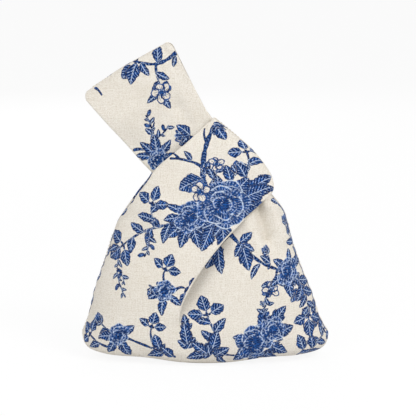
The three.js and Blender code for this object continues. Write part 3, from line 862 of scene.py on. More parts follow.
# Where a stem runs beside a half's outer edge, on the front: first and last row of its net, and the column
EDGE_STEMS = {-1: ((84, 180, 13), (192, 236, 5)), 1: ((90, 212, 16),)}


def flat_way(turn):
    return np.array([math.cos(turn), math.sin(turn)])


def turn_of(way):
    return math.atan2(way[1], way[0])


class Print:
    """Inked shapes on flat cloth: at each point, how deep it lies in a shape and where in that shape."""

    def __init__(self, flat):
        self.shape = flat.shape[:-1]
        self.flat = flat.reshape(-1, 2)
        self.ink = np.full(len(self.flat), NO_INK)
        self.motif = np.zeros((len(self.flat), 3))

    def result(self):
        return self.ink.reshape(self.shape), self.motif.reshape(*self.shape, 3)

    def bare_lip(self, flat):
        """Leaves the turned edge along the mouth without ink."""
        from_lip = np.linalg.norm(flat - flat[:, -1:], axis=-1)
        self.ink = np.minimum(self.ink, (from_lip - BARE_LIP).ravel())

    def near(self, spot, reach):
        return np.flatnonzero(((self.flat - spot) ** 2).sum(1) < reach**2)

    def local(self, chosen, base, turn):
        """Chosen points, along a shape's own axis and across it."""
        x, y = (self.flat[chosen] - base).T
        return x * math.cos(turn) + y * math.sin(turn), y * math.cos(turn) - x * math.sin(turn)

    def stamp(self, chosen, outside, along, across, kind, gap):
        """Inks a shape over what is there, with a bare line round it, by the distance outside its edge."""
        self.ink[chosen] = np.maximum(np.minimum(self.ink[chosen], outside - gap), -outside)
        inside = outside < gap + BELONGS
        self.motif[chosen[inside]] = np.stack([along, across, np.full(len(along), kind)], -1)[inside]

    def leaf(self, base, turn, size, width=0.56, bend=0.16, gap=0.65):
        """A leaf with toothed sides, bent a little."""
        base = np.array(base, float)
        chosen = self.near(base + 0.5 * size * flat_way(turn), 0.85 * size)
        along, across = self.local(chosen, base, turn)
        across = across - bend * along * (along - size) / size
        t = np.clip(along / size, 1e-3, 1 - 1e-3)
        teeth = 1.08 - 0.2 * ((along / 4.1 + 0.3 * np.sign(across) + 0.6 * turn) % 1)
        teeth = teeth + 0.1 * np.sin(along / 1.9 + 5 * turn + np.sign(across))
        wide = width * size * (0.94 + 0.14 * math.sin(3.1 * turn + size))
        half = 0.5 * wide * np.sin(math.pi * t**0.78) ** 0.72 * teeth
        outside = np.maximum(0.85 * (np.abs(across) - half), np.maximum(-along, along - size))
        self.stamp(chosen, outside, along, across, LEAF, gap)

    def petal(self, base, turn, size, width, gap=0.0, kind=PETAL):
        """An oval with a ruffled outer edge."""
        base = np.array(base, float)
        chosen = self.near(base + 0.5 * size * flat_way(turn), 0.75 * max(size, width))
        along, across = self.local(chosen, base, turn)
        x, y = along / size * 2 - 1, across / width * 2
        ruffle = 1 + 0.11 * np.abs(np.sin(2.5 * np.arctan2(y, x))) * (x > -0.3)
        outside = (np.hypot(x, y) * ruffle - 1) * min(size, width) / 2
        self.stamp(chosen, outside, along / size, across, kind, gap)

    def flower(self, spot, radius, turn, rings, kind=PETAL):
        """Petals ring by ring, the outer ones first."""
        spot = np.array(spot, float)
        for count, start, size, width in rings:
            for k in range(count):
                way = turn + (k + 0.2 * math.sin(2.7 * k + turn)) * math.tau / count
                base = spot + start * radius * flat_way(way)
                reach = radius * (1 + 0.14 * math.sin(1.9 * k + 3 * turn))
                self.petal(base, way, size * reach, width * radius, 0.03 * radius * (k % 2), kind)
            turn += 0.55

    def stem(self, points, thick=1.9, thin=1.3, curve=True):
        """A stem along a curve, or along the points themselves; returns its line."""
        line = bezier(points, np.linspace(0, 1, STEM_STEPS + 1)) if curve else np.asarray(points, float)
        run = np.diff(line, axis=0)
        last = len(run)
        size = np.linalg.norm(run, axis=1).sum()
        chosen = self.near(line.mean(0), 0.75 * size + 3)
        spots = self.flat[chosen][:, None]
        t = np.clip(((spots - line[:-1]) * run).sum(-1) / (run**2).sum(-1), 0, 1)
        gaps = np.linalg.norm(spots - line[:-1] - t[..., None] * run, axis=-1)
        nearest = gaps.argmin(1)
        share = (nearest + t[np.arange(len(chosen)), nearest]) / last
        knots = 1 + 0.16 * np.sin(share * size / 2.3) + 0.1 * np.sin(share * size / 1.1)
        outside = gaps.min(1) - mix(thick, thin, share) / 2 * knots
        self.stamp(chosen, outside, share * size, outside, TWIG, STEM_GAP)
        return line

    @staticmethod
    def place_on(line, share):
        """A stem's place at a share of its length, and its turn there."""
        last = len(line) - 1
        spot = min(last, int(share * last))
        return line[spot], turn_of(line[min(spot + 1, last)] - line[max(spot - 1, 0)])

    def trefoil(self, spot, turn, size):
        spot = np.array(spot, float)
        for swing, share in ((1.25, 0.86), (-1.25, 0.86), (0, 0.95)):
            stalk = spot + 0.3 * size * flat_way(turn + swing)
            self.stem([spot, (spot + stalk) / 2, stalk], 1.4, 1.1)
            self.leaf(stalk, turn + swing, size * share, 0.8, 0.1 * np.sign(swing))

    def leaves(self, line, count, size, first):
        """Leaves on both sides of a line by turns."""
        for k in range(count):
            spot, turn = self.place_on(line, (k + 0.7) / (count + 0.6))
            side = first * (-1) ** k
            self.leaf(spot, turn + side * 0.95, size * (1.05 - 0.08 * k), bend=0.16 * side)

    def spray(self, points, leaves, size, end, first=1, thick=1.8):
        """A stem with leaves, and three leaves, a bud or a blossom at its end."""
        line = self.stem(points, thick)
        self.leaves(line, leaves, size, first)
        tip = line[-1]
        turn = turn_of(tip - line[-3])
        if end == "trefoil":
            self.trefoil(tip, turn, size * 0.9)
        elif end == "bud":
            self.bud(tip, turn, size * 0.8)
        elif end == "blossom":
            self.blossom(tip, size * 0.55, turn)

    def bud(self, spot, turn, size):
        for swing in (0.35, -0.35, 0):
            self.petal(spot, turn + swing, size, size * 0.55, kind=OPEN_PETAL if swing else PETAL)
        for swing in (0.9, -0.9):
            self.leaf(spot, turn + swing, size * 0.7, 0.45)

    def blossom(self, spot, radius, turn):
        self.flower(spot, radius, turn, ((5, 0.12, 1.02, 0.9),), OPEN_PETAL)
        self.flower(spot, radius, turn, ((4, 0, 0.36, 0.3),))

    def rose(self, spot, radius, turn):
        inner = ((5, 0.16, 0.62, 0.74), (4, 0.04, 0.46, 0.56), (1, -0.11, 0.22, 0.2))
        self.flower(spot, radius, turn, ((6, 0.34, 0.7, 0.82),))
        self.flower(spot, radius, turn + 0.5, inner)

    def peony(self, spot, radius, turn):
        inner = ((5, 0.1, 0.5, 0.62), (4, 0.03, 0.34, 0.42), (1, -0.1, 0.2, 0.18))
        self.flower(spot, radius, turn, ((7, 0.4, 0.62, 0.78), (6, 0.24, 0.58, 0.78)))
        self.flower(spot, radius, turn + 0.9, inner)

    def frond(self, base, turn, size):
        """A leaf with five lobes: a pair low down, a pair above it and one at the tip."""
        way = size * flat_way(turn)
        for swing, start, share in ((0.75, 0.05, 0.5), (0.5, 0.3, 0.46)):
            for side in (1, -1):
                self.leaf(base + start * way, turn + side * swing, share * size, 0.6, 0.1 * side, 0.4)
        self.leaf(base + 0.2 * way, turn, 0.8 * size, 0.6, 0, 0.4)

    def wreath(self, spot, start, turns):
        """Leaves that stick out round a flower, the large ones with lobes."""
        for turn, size in turns:
            base = spot + start * flat_way(turn)
            if size > LOBED_SIZE:
                self.frond(base, turn, size)
            else:
                self.leaf(base, turn, size, 0.54)

    def twig(self, points, buds, size):
        """A thin twig with small buds on both sides by turns."""
        line = self.stem(points, 1.3, 1.0)
        for k in range(buds):
            spot, turn = self.place_on(line, (k + 0.8) / (buds + 0.2))
            turn += 0.9 if k % 2 else -0.9
            reach = size * (0.9 + 0.3 * math.sin(2.3 * k))
            if k % 3:
                self.leaf(spot, turn, 1.35 * reach, 0.5, 0.1, 0.3)
            else:
                self.petal(spot + 0.3 * size * flat_way(turn), turn, reach, size * 0.62, kind=TWIG)


def print_left(ink):
    """Flowers of the left half, which becomes the short handle's band."""
    ink.stem([(0, 150), (-6, 168), (-4, 186), (4, 210)], 4.6, 3.0)
    ink.stem([(-3, 170), (-12, 178), (-31, 177)], 2.6, 1.6)
    ink.stem([(-23, 177), (-28, 182), (-31, 182)], 1.6, 1.2)
    ink.stem([(-1, 193), (-5, 198), (-4, 205)], 1.8, 1.2)
    ink.leaf((-13, 177), 2.3, 10)
    ink.frond((4, 208), -0.85, 15)
    ink.leaf((2, 210), 0.35, 11, 0.6)
    ink.leaf((-2, 165), 1.3, 13)
    ink.spray([(3, 156), (10, 166), (8, 175)], 2, 11, "blossom")
    ink.spray([(14, 154), (22, 162), (24, 168)], 1, 14, "bud", thick=2.4)
    ink.spray([(28, 158), (38, 172), (30, 187)], 2, 13, "trefoil", thick=2.6)
    ink.spray([(-24, 122), (-44, 117), (-58, 114), (-75, 100)], 5, 17, "trefoil", thick=2.4)
    ink.spray([(-43, 118), (-50, 128), (-47, 136)], 2, 15, "trefoil")
    ink.twig([(-52, 112), (-48, 104), (-54, 92)], 7, 5.2)
    ink.leaf((-4, 160), 3.62, 22, 0.66)
    ink.leaf((34, 152), 0.3, 20, 0.5)
    ink.leaf((40, 160), 0.75, 13, 0.6)
    ink.leaf((30, 152), 0.62, 24, 0.5)
    above = ((6.1, 16), (0.1, 26), (0.5, 30), (0.9, 22), (1.7, 15))
    ink.wreath((12, 136), 14, ((2.5, 18), (3.2, 16), (3.9, 25), (4.3, 27), (4.8, 25), *above))
    ink.wreath((-14, 127), 8, ((2.7, 14), (3.3, 15), (3.9, 18), (4.4, 20), (5.0, 19)))
    ink.rose((-14, 127), 13.5, 0.4)
    ink.peony((14, 139), 22, 0.2)
    ink.blossom((-6, 149), 8, 0.3)
    ink.spray([(-34, 70), (-38, 76), (-35, 82)], 0, 13, "trefoil")
    ink.spray([(-28, 64), (-22, 71), (-17, 67)], 0, 14, "trefoil", thick=2.2)
    ink.twig([(-38, 66), (-44, 70), (-50, 65)], 4, 4.6)
    ink.wreath((-35, 65), 5, ((4.6, 16), (5.6, 13), (3.6, 11)))
    ink.rose((-35, 65), 9, 1.1)
    ink.leaf((-82, 98), 3.6, 12)
    ink.twig([(-78, 92), (-84, 78), (-70, 58)], 9, 5.0)
    ink.twig([(-79, 80), (-73, 76), (-71, 68)], 3, 4.4)


def print_right(ink):
    """Flowers of the right half, under the band."""
    ink.stem([(20, 114), (30, 104), (44, 86), (66, 82)], 3.2, 1.8)
    ink.frond((30, 107), 5.0, 25)
    ink.leaf((29, 107), 0.75, 13)
    ink.leaf((46, 88), 4.2, 14, 0.34, 0.4)
    ink.spray([(54, 84), (56, 90), (53, 96)], 1, 10, "bud")
    ink.spray([(62, 82), (60, 74), (56, 66)], 2, 12, "blossom")
    ink.twig([(56, 66), (50, 60), (48, 52)], 3, 4.6)
    ink.leaf((83, 64), 4.0, 14)
    ink.wreath((73, 80), 6, ((0.6, 17), (1.5, 13), (2.5, 12), (3.7, 14), (4.8, 17), (5.6, 18)))
    ink.rose((73, 80), 11.5, 0.6)
    ink.spray([(84, 74), (93, 60), (92, 40)], 6, 16, "trefoil", thick=2.0)
    ink.spray([(86, 98), (80, 108), (78, 120)], 2, 11, "bud")
    ink.stem([(18, 112), (12, 106), (9, 98)], 2.4, 1.6)
    ink.frond((11, 104), 4.2, 23)
    ink.leaf((10, 102), 4.9, 22, 0.5)


def print_base(ink):
    """Flowers below the mouth's foot, on both halves."""
    ink.spray([(6, 14), (12, 28), (3, 36), (1, 45)], 3, 16, "trefoil", thick=2.0)
    ink.stem([(-20, 38), (-14, 22), (6, 10), (34, 9)], 2.2, 1.6)
    ink.frond((-15.5, 31), 1.8, 15)
    ink.frond((-15, 16), 1.75, 22)
    ink.frond((4, 12), 1.3, 20)
    ink.frond((4, 10), 2.5, 20)
    ink.frond((6, 10), 0.5, 15)
    ink.leaf((-2, 11), 3.4, 15)
    ink.leaf((10, 9), 5.2, 13)
    wreath = ((0.3, 22), (0.85, 26), (1.4, 17), (3.0, 11), (3.9, 18), (4.5, 18), (5.2, 20), (5.8, 18))
    ink.wreath((44, 23), 11, wreath)
    ink.twig([(50, 40), (47, 48), (52, 55)], 5, 5.2)
    ink.rose((41, 21), 16, 0.9)
    ink.rose((57, 31), 10.5, 0.1)
    ink.spray([(78, 2), (90, 18), (97, 36)], 5, 15, "trefoil", -1)
    ink.spray([(90, 8), (100, 18), (110, 24)], 3, 13, "trefoil")
    ink.leaf((90, 8), 5.9, 15)
    ink.stem([(-26, 8), (-40, 14), (-58, 20), (-78, 28)], 2.2, 1.6)
    ink.spray([(-78, 28), (-86, 28), (-93, 33)], 1, 13, "bud", thick=1.6)
    ink.wreath((-75, 25), 5, ((0.6, 12), (3.3, 15), (4.2, 15), (5.2, 17)))
    ink.rose((-75, 26), 9.5, 0.5)
    ink.spray([(-44, 18), (-48, 28), (-46, 34)], 0, 12, "trefoil")
    ink.frond((-38, 12), 1.9, 17)
    ink.leaf((-36, 12), 3.5, 15)
    ink.leaf((-28, 8), 2.4, 13)
    ink.spray([(-86, 14), (-96, 16), (-105, 22)], 1, 13, "trefoil")


def print_handle(ink):
    """Flowers of the long handle."""
    ink.stem([(-24, 262), (-34, 252), (-42, 250), (-60, 254)], 3.0, 1.8)
    ink.trefoil((-58, 254), 2.8, 16)
    ink.leaf((-58, 252), 4.45, 18, 0.6)
    ink.leaf((-54, 252), 5.3, 12)
    ink.spray([(-42, 250), (-42, 240), (-35, 230)], 2, 12, "blossom")
    ink.leaf((-40, 254), 1.7, 15)
    ink.wreath((-37, 228), 4, ((3.8, 11), (5.2, 12)))
    ink.blossom((-37, 228), 8, 0.8)
    ink.leaf((-25, 258), 4.5, 9)
    ink.stem([(-41, 176), (-46, 190), (-43, 202)], 1.8, 1.2)
    ink.twig([(-46, 186), (-43, 198), (-50, 208)], 7, 5.0)
    ink.twig([(-45, 186), (-37, 189), (-31, 199)], 5, 4.8)
    ink.stem([(-60, 178), (-54, 180), (-48, 177)], 2.2, 1.8)
    ink.stem([(-53, 170), (-48, 173), (-42, 174)], 2.6, 2.0)
    ink.wreath((-41, 172), 4, ((3.1, 14), (2.4, 15), (1.7, 15), (0.9, 15), (0.1, 17)))
    ink.rose((-40, 170), 9, 0.2)
    ink.spray([(-2, 182), (-8, 190), (-14, 190)], 1, 15, "bud")
    ink.leaf((-13, 191), 2.5, 14, 0.6)
    ink.stem([(-93, 232), (-90, 231), (-87, 226)], 1.8, 1.2)


def print_back(ink):
    """Flowers of the back alone, beside those that it shares with the front."""
    ink.spray([(-30, 186), (-44, 180), (-56, 166)], 4, 15, "trefoil", thick=2.4)
    ink.twig([(-40, 182), (-46, 190), (-56, 190)], 6, 5.0)
    ink.wreath((-62, 150), 6, ((0.4, 13), (1.6, 14), (2.8, 15), (4.0, 16), (5.1, 15)))
    ink.rose((-62, 150), 10.5, 0.7)
    ink.spray([(-96, 58), (-90, 72), (-96, 88)], 4, 14, "bud")


def print_edge(ink, flat, first, last, column):
    """A stem that runs along a half's outer edge, with leaves that wrap over it."""
    line = flat[first:last, column]
    ink.stem(line[::6], 2.0, 1.6, curve=False)
    for k in range(8, len(line) - 8, 15):
        swing = 0.2 if k % 2 else -0.2
        ink.leaf(line[k], turn_of(line[k + 4] - line[k - 4]) + swing, 11, 0.4)


def front_print(half, flat):
    """The print of a half of the front panel."""
    ink = Print(flat)
    print_base(ink)
    for stretch in EDGE_STEMS[half.side]:
        print_edge(ink, flat, *stretch)
    if half.side < 0:
        print_left(ink)
        ink.bare_lip(flat)
    else:
        print_right(ink)
    return ink.result()


def back_print(half, flat):
    """The print of a half of the back panel, which is cut from another stretch of the same cloth."""
    ink = Print(flat * (-1, 1) + BACK_PANEL_SHIFT)
    print_base(ink)
    print_right(ink)
    print_left(ink)
    print_back(ink)
    if half.side < 0:
        ink.bare_lip(flat)
    return ink.result()


def front_handle_print(flat):
    ink = Print(flat)
    print_handle(ink)
    return ink.result()


def back_handle_print(flat):
    return front_handle_print(flat + BACK_HANDLE_SHIFT)


# Materials

# Sockets of the Mix node that hold its share and its colours, and the one that gives the mixed colour
MIX_SHARE, MIX_A, MIX_B = 0, 6, 7
MIX_COLOUR = 2


class Tree:
    """Adds nodes to a node tree: inputs are values or other nodes' outputs."""

    def __init__(self, tree):
        self.tree = tree

    def put(self, socket, value):
        if isinstance(value, bpy.types.NodeSocket):
            self.tree.links.new(value, socket)
        else:
            socket.default_value = value

    def add(self, kind, inputs=None, **settings):
        node = self.tree.nodes.new(kind)
        for name, value in settings.items():
            setattr(node, name, value)
        for name, value in (inputs or {}).items():
            self.put(node.inputs[name], value)
        return node

    def maths(self, operation, *values):
        return self.add("ShaderNodeMath", dict(enumerate(values)), operation=operation).outputs[0]

    def times(self, value, *others):
        for other in others:
            value = self.maths("MULTIPLY", value, other)
        return value

    def most(self, value, *others):
        """The largest of some values."""
        for other in others:
            value = self.maths("MAXIMUM", value, other)
        return value

    def rest(self, value):
        """What is left of 1."""
        return self.maths("SUBTRACT", 1.0, value)

    def scaled(self, value, scale, more):
        return self.maths("MULTIPLY_ADD", value, scale, more)

    def waves(self, value, half_length):
        return self.maths("PINGPONG", value, half_length)

    def rise(self, value, low, high, start=0.0, end=1.0):
        """0 below low, 1 above high, smooth between them."""
        inputs = {"Value": value, "From Min": low, "From Max": high, "To Min": start, "To Max": end}
        return self.add("ShaderNodeMapRange", inputs, interpolation_type="SMOOTHSTEP").outputs[0]

    def fall(self, value, low, high):
        """1 below low, 0 above high, smooth between them."""
        return self.rise(value, low, high, 1.0, 0.0)

    def stretched(self, vector, scale):
        return self.add("ShaderNodeVectorMath", {0: vector, 1: scale}, operation="MULTIPLY").outputs[0]

    def noise(self, vector, scale, detail=2.0, rough=0.55):
        inputs = {"Vector": vector, "Scale": scale, "Detail": detail, "Roughness": rough}
        return self.add("ShaderNodeTexNoise", inputs).outputs[0]

    def blend(self, share, a, b):
        inputs = {MIX_SHARE: share, MIX_A: a, MIX_B: b}
        return self.add("ShaderNodeMix", inputs, data_type="RGBA").outputs[MIX_COLOUR]

    def bump(self, height, strength, distance):
        inputs = {"Height": height, "Strength": strength, "Distance": distance}
        return self.add("ShaderNodeBump", inputs).outputs[0]


def weave_group():
    """Plain weave with slubs: place on the cloth in millimetres in, height and fibre tone out."""
    group = bpy.data.node_groups.get("slubby weave")
    if group:
        return group
    group = bpy.data.node_groups.new("slubby weave", "ShaderNodeTree")
    group.interface.new_socket("Place", in_out="INPUT", socket_type="NodeSocketVector")
    group.interface.new_socket("Pitch", in_out="INPUT", socket_type="NodeSocketFloat")
    group.interface.new_socket("Height", in_out="OUTPUT", socket_type="NodeSocketFloat")
    group.interface.new_socket("Fibre", in_out="OUTPUT", socket_type="NodeSocketFloat")
    t = Tree(group)
    given = t.add("NodeGroupInput")
    spot, pitch = given.outputs["Place"], given.outputs["Pitch"]
    wander = t.times(t.noise(spot, 0.35, 1.0), 0.7)
    waves = []
    for place in t.add("ShaderNodeSeparateXYZ", {0: spot}).outputs[:2]:
        threads = t.maths("DIVIDE", t.maths("ADD", place, wander), pitch)
        waves.append(t.maths("SINE", t.times(threads, math.pi)))
    over = t.scaled(t.times(*waves), 0.5, 0.5)
    warp_ridge, weft_ridge = (t.maths("ABSOLUTE", wave) for wave in waves)
    weave = t.scaled(warp_ridge, over, t.times(weft_ridge, t.rest(over)))
    warp = t.noise(t.stretched(spot, (1.1, 0.09, 1)), 1.0, 3.0)
    weft = t.noise(t.stretched(spot, (0.09, 1.1, 1)), 1.0, 3.0)
    slub = t.scaled(warp, 0.5, t.times(weft, 0.5))
    grain = t.noise(spot, 0.9, 3.0, 0.7)
    fibre = t.scaled(slub, 0.4, t.times(grain, 0.6))
    t.add("NodeGroupOutput", {"Height": t.scaled(weave, 0.45, fibre), "Fibre": fibre})
    return group


def rgba(values):
    return (*values, 1.0)


def new_material(name, roughness, sheen=0.0):
    """A new material, its tree and its shader's inputs."""
    material = bpy.data.materials.new(name)
    material.use_nodes = True
    inputs = material.node_tree.nodes["Principled BSDF"].inputs
    inputs["Roughness"].default_value = roughness
    inputs["Sheen Weight"].default_value = sheen
    return material, Tree(material.node_tree), inputs


def cloth_material(name, pitch, roughness, sheen):
    """A new woven material, its tree, its place on the cloth in millimetres, its fibres and its inputs."""
    material, t, inputs = new_material(name, roughness, sheen)
    inputs["Specular IOR Level"].default_value = 0.2
    flat = t.add("ShaderNodeUVMap", uv_map="cloth").outputs[0]
    spot = t.stretched(flat, (1 / MM, 1 / MM, 0))
    weave = t.add("ShaderNodeGroup", {"Place": spot, "Pitch": pitch}, node_tree=weave_group())
    t.put(inputs["Normal"], t.bump(weave.outputs["Height"], 0.9, 0.0007))
    return material, t, spot, weave.outputs["Fibre"], inputs


def plain_cloth(t, spot, fibre, base, slub):
    """Cream cloth whose fibres and broad tone vary."""
    toned = t.blend(t.times(t.fall(fibre, 0.34, 0.6), 0.62), rgba(base), rgba(slub))
    broad = t.fall(t.noise(spot, 0.02), 0.3, 0.6)
    return t.blend(t.times(broad, 0.1), toned, rgba(slub))


def printed_canvas(colours):
    """Cream canvas with a blue print that was inked onto its weave."""
    material, t, spot, fibre, inputs = cloth_material("printed canvas", 0.95, 0.92, 0.03)
    bare = plain_cloth(t, spot, fibre, colours.canvas, colours.slub)
    depth = t.add("ShaderNodeAttribute", attribute_name="ink").outputs["Fac"]
    motif = t.add("ShaderNodeAttribute", attribute_name="motif").outputs["Vector"]
    along, across, kind = t.add("ShaderNodeSeparateXYZ", {0: motif}).outputs
    depth = t.maths("ADD", depth, t.scaled(t.noise(spot, 1.3), 0.8, -0.4))
    wander = t.noise(spot, 0.45)
    broken = t.fall(t.noise(spot, 0.6), 0.38, 0.6)
    half_broken = t.scaled(broken, 0.5, 0.5)
    # Which kind of shape a place is in
    leaf = t.fall(kind, 0.3, 0.5)
    petal = t.times(t.rest(leaf), t.fall(kind, 1.3, 1.6))
    open_petal = t.rise(kind, 2.4, 2.6)
    twig = t.rest(t.most(leaf, petal, open_petal))
    leaf_or_twig = t.most(leaf, twig)
    # Dark strokes: outlines, veins, a leaf's shaded side, a petal's hatching and furrows, and patches
    outline = t.times(t.fall(depth, 0.3, 0.75), half_broken, leaf_or_twig)
    off_rib = t.maths("ABSOLUTE", across)
    veins = t.waves(t.scaled(off_rib, -0.9, t.scaled(wander, 3.0, along)), 1.4)
    dark_veins = t.times(t.fall(veins, 0.32, 0.72), 0.95)
    shaded = t.times(t.fall(across, -0.4, 0.4), 0.4)
    hatching = t.waves(t.scaled(wander, 2.2, across), 1.05)
    hatched = t.times(t.fall(hatching, 0.2, 0.6), t.fall(along, 0.45, 1.0))
    fan = t.maths("DIVIDE", across, t.maths("ADD", along, 0.3))
    fan = t.waves(t.scaled(wander, 3.0, fan), 1.2)
    furrows = t.rise(fan, 0.75, 1.05)
    on_leaf = t.times(t.most(dark_veins, shaded), leaf_or_twig)
    on_petal = t.times(t.most(hatched, t.times(furrows, 0.85)), t.most(petal, open_petal))
    patches = t.times(t.fall(t.noise(spot, 0.2, 3.0), 0.4, 0.6), 0.6)
    dark = t.most(outline, on_leaf, on_petal, patches)
    # Light strokes: a leaf's rib, gleams between the veins, a petal's rim and streaks
    rib = t.times(t.fall(off_rib, 0.1, 0.42), 0.9)
    gleams = t.times(t.rise(veins, 0.95, 1.3), broken)
    rim = t.times(t.fall(t.scaled(wander, 0.6, depth), 0.4, 0.8), half_broken)
    streaks = t.times(t.fall(fan, 0.25, 0.6), broken, 0.75)
    on_leaf = t.times(t.most(rib, t.times(gleams, 0.9)), leaf)
    on_petal = t.times(t.most(rim, streaks), t.rise(along, 0.45, 0.75), petal)
    light = t.most(on_leaf, t.times(gleams, twig, 0.5), on_petal)
    light = t.times(light, t.rest(outline), 0.95)
    # Where the ink covers the cloth: open petals are lines alone, and fibres that stand out lose some ink
    drawn = t.most(t.fall(depth, 0.5, 0.9), t.times(furrows, t.fall(along, 0.4, 0.8)))
    left_bare = t.times(open_petal, t.rest(drawn))
    worn = t.scaled(t.fall(fibre, 0.5, 0.72), 0.08, 0.92)
    covered = t.times(t.rise(depth, -0.35, -0.05), worn, t.rest(left_bare))
    inked = t.blend(dark, rgba(colours.ink), rgba(colours.ink_dark))
    inked = t.blend(light, inked, rgba(colours.ink_pale))
    t.put(inputs["Base Color"], t.blend(covered, bare, inked))
    return material


def plain_lining(colours):
    material, t, spot, fibre, inputs = cloth_material("plain lining", 0.6, 0.9, 0.1)
    t.put(inputs["Base Color"], plain_cloth(t, spot, fibre, colours.lining, colours.slub))
    return material


def spun_thread(colours):
    """Sewing thread with its twist."""
    material, t, inputs = new_material("spun thread", 0.75, 0.15)
    waves = {"Vector": t.add("ShaderNodeTexCoord").outputs["Object"], "Scale": 900.0, "Distortion": 1.5}
    twist = t.add("ShaderNodeTexWave", waves, bands_direction="DIAGONAL").outputs["Fac"]
    t.put(inputs["Base Color"], t.blend(t.times(twist, 0.4), rgba(colours.thread), rgba(colours.slub)))
    t.put(inputs["Normal"], t.bump(twist, 0.4, 0.0002))
    return material


def finish_of(name, colours):
    """One of the bag's materials, made when it is first needed."""
    makers = {"printed canvas": printed_canvas, "plain lining": plain_lining, "spun thread": spun_thread}
    return bpy.data.materials.get(name) or makers[name](colours)


def dress(piece, scene, finish, slot):
    piece.data.materials.append(finish_of(finish, measures(scene.knot_bag_colours)))
    return piece


# Operators

SIDES = (("front", front_print, front_handle_print), ("back", back_print, back_handle_print))

# Rows or shares between which a seam shows its stitches
LEFT_SIDE_SEWN = (3.0, 8.6)
RIGHT_SIDE_SEWN = (3.4, 9.6)
BASE_SEWN = (0.06, 1)
FOLD_SEWN = (0.06, 0.86)
LOOP_SEWN = (0.05, 0.95)

# How far a stitch stands clear of its seam, how blunt its ends are, and how far ahead its seam's way is read
STITCH_LIFT = 0.1
STITCH_BLUNT = 0.8
LOOK_AHEAD = 0.5

# Lamps: name, place, size in metres and power in watts
LAMPS = (
    ("key", (0.95, -1.0, 1.5), 0.7, 17.0),
    ("fill", (-0.9, -1.2, 1.3), 1.2, 9.0),
    ("back", (-0.4, 1.6, 0.9), 1.2, 7.0),
)
LAMP_AIM = Vector((0, 0, 0.12))

# The world's strength as a light, the share of plain white in the floor as it is seen, and the floor's size
WORLD_LIGHT = 0.55
FLOOR_GLOW = 0.9
FLOOR_SIZE = 40

# The camera looks at a point from a distance, with a view that is so wide there
CAMERA_TARGET = Vector((0.0023, 0, 0.128))
CAMERA_DISTANCE = 1.6
CAMERA_RISE = math.radians(10)
CAMERA_VIEW = 0.3536


class KNOTBAG_OT_canvas(bpy.types.Operator):
    """Make the front and back panels of printed canvas"""

    bl_idname = "knotbag.canvas"
    bl_label = "Canvas panels"

    def execute(self, context):
        for side, print_on, _ in SIDES:
            panel = panel_canvas(Pattern(context.scene), print_on).mesh(f"{side}_canvas", side == "back")
            piece = dress(panel, context.scene, "printed canvas", "canvas")
            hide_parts(f"{side}_panel_outer")
            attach(piece, "bag")
        return {"FINISHED"}


class KNOTBAG_OT_lining(bpy.types.Operator):
    """Make the lining inside both panels"""

    bl_idname = "knotbag.lining"
    bl_label = "Lining"

    def execute(self, context):
        net = panel_lining(Pattern(context.scene))
        for side, _, _ in SIDES:
            piece = dress(net.mesh(f"{side}_lining", side == "back"), context.scene, "plain lining", "lining")
            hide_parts(f"{side}_panel_lining")
            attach(piece, "bag")
        return {"FINISHED"}


class KNOTBAG_OT_handle(bpy.types.Operator):
    """Make the long handle, shaped with a crease where its loop folds over"""

    bl_idname = "knotbag.handle"
    bl_label = "Long handle"

    def execute(self, context):
        pattern = Pattern(context.scene)
        cloth, h = pattern.cloth, pattern.handles
        lining = handle_net(pattern, cloth.canvas + cloth.ply_gap, cloth.lining, 0)
        for side, _, print_on in SIDES:
            canvas = handle_net(pattern, 0, cloth.canvas, 1, print_on)
            plies = (
                ("canvas", "outer", "printed canvas", canvas, (0.088, 0.124), 0.0091),
                ("lining", "lining", "plain lining", lining, (0.083, 0.123), 0.0083),
            )
            for slot, node, finish, net, flat, area in plies:
                piece = dress(net.mesh(f"handle_{side}_{slot}", side == "back"), context.scene, finish, slot)
                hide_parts(f"handle_neck_{side}_{node}", f"handle_loop_{side}_{node}")
                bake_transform(piece)
        return {"FINISHED"}


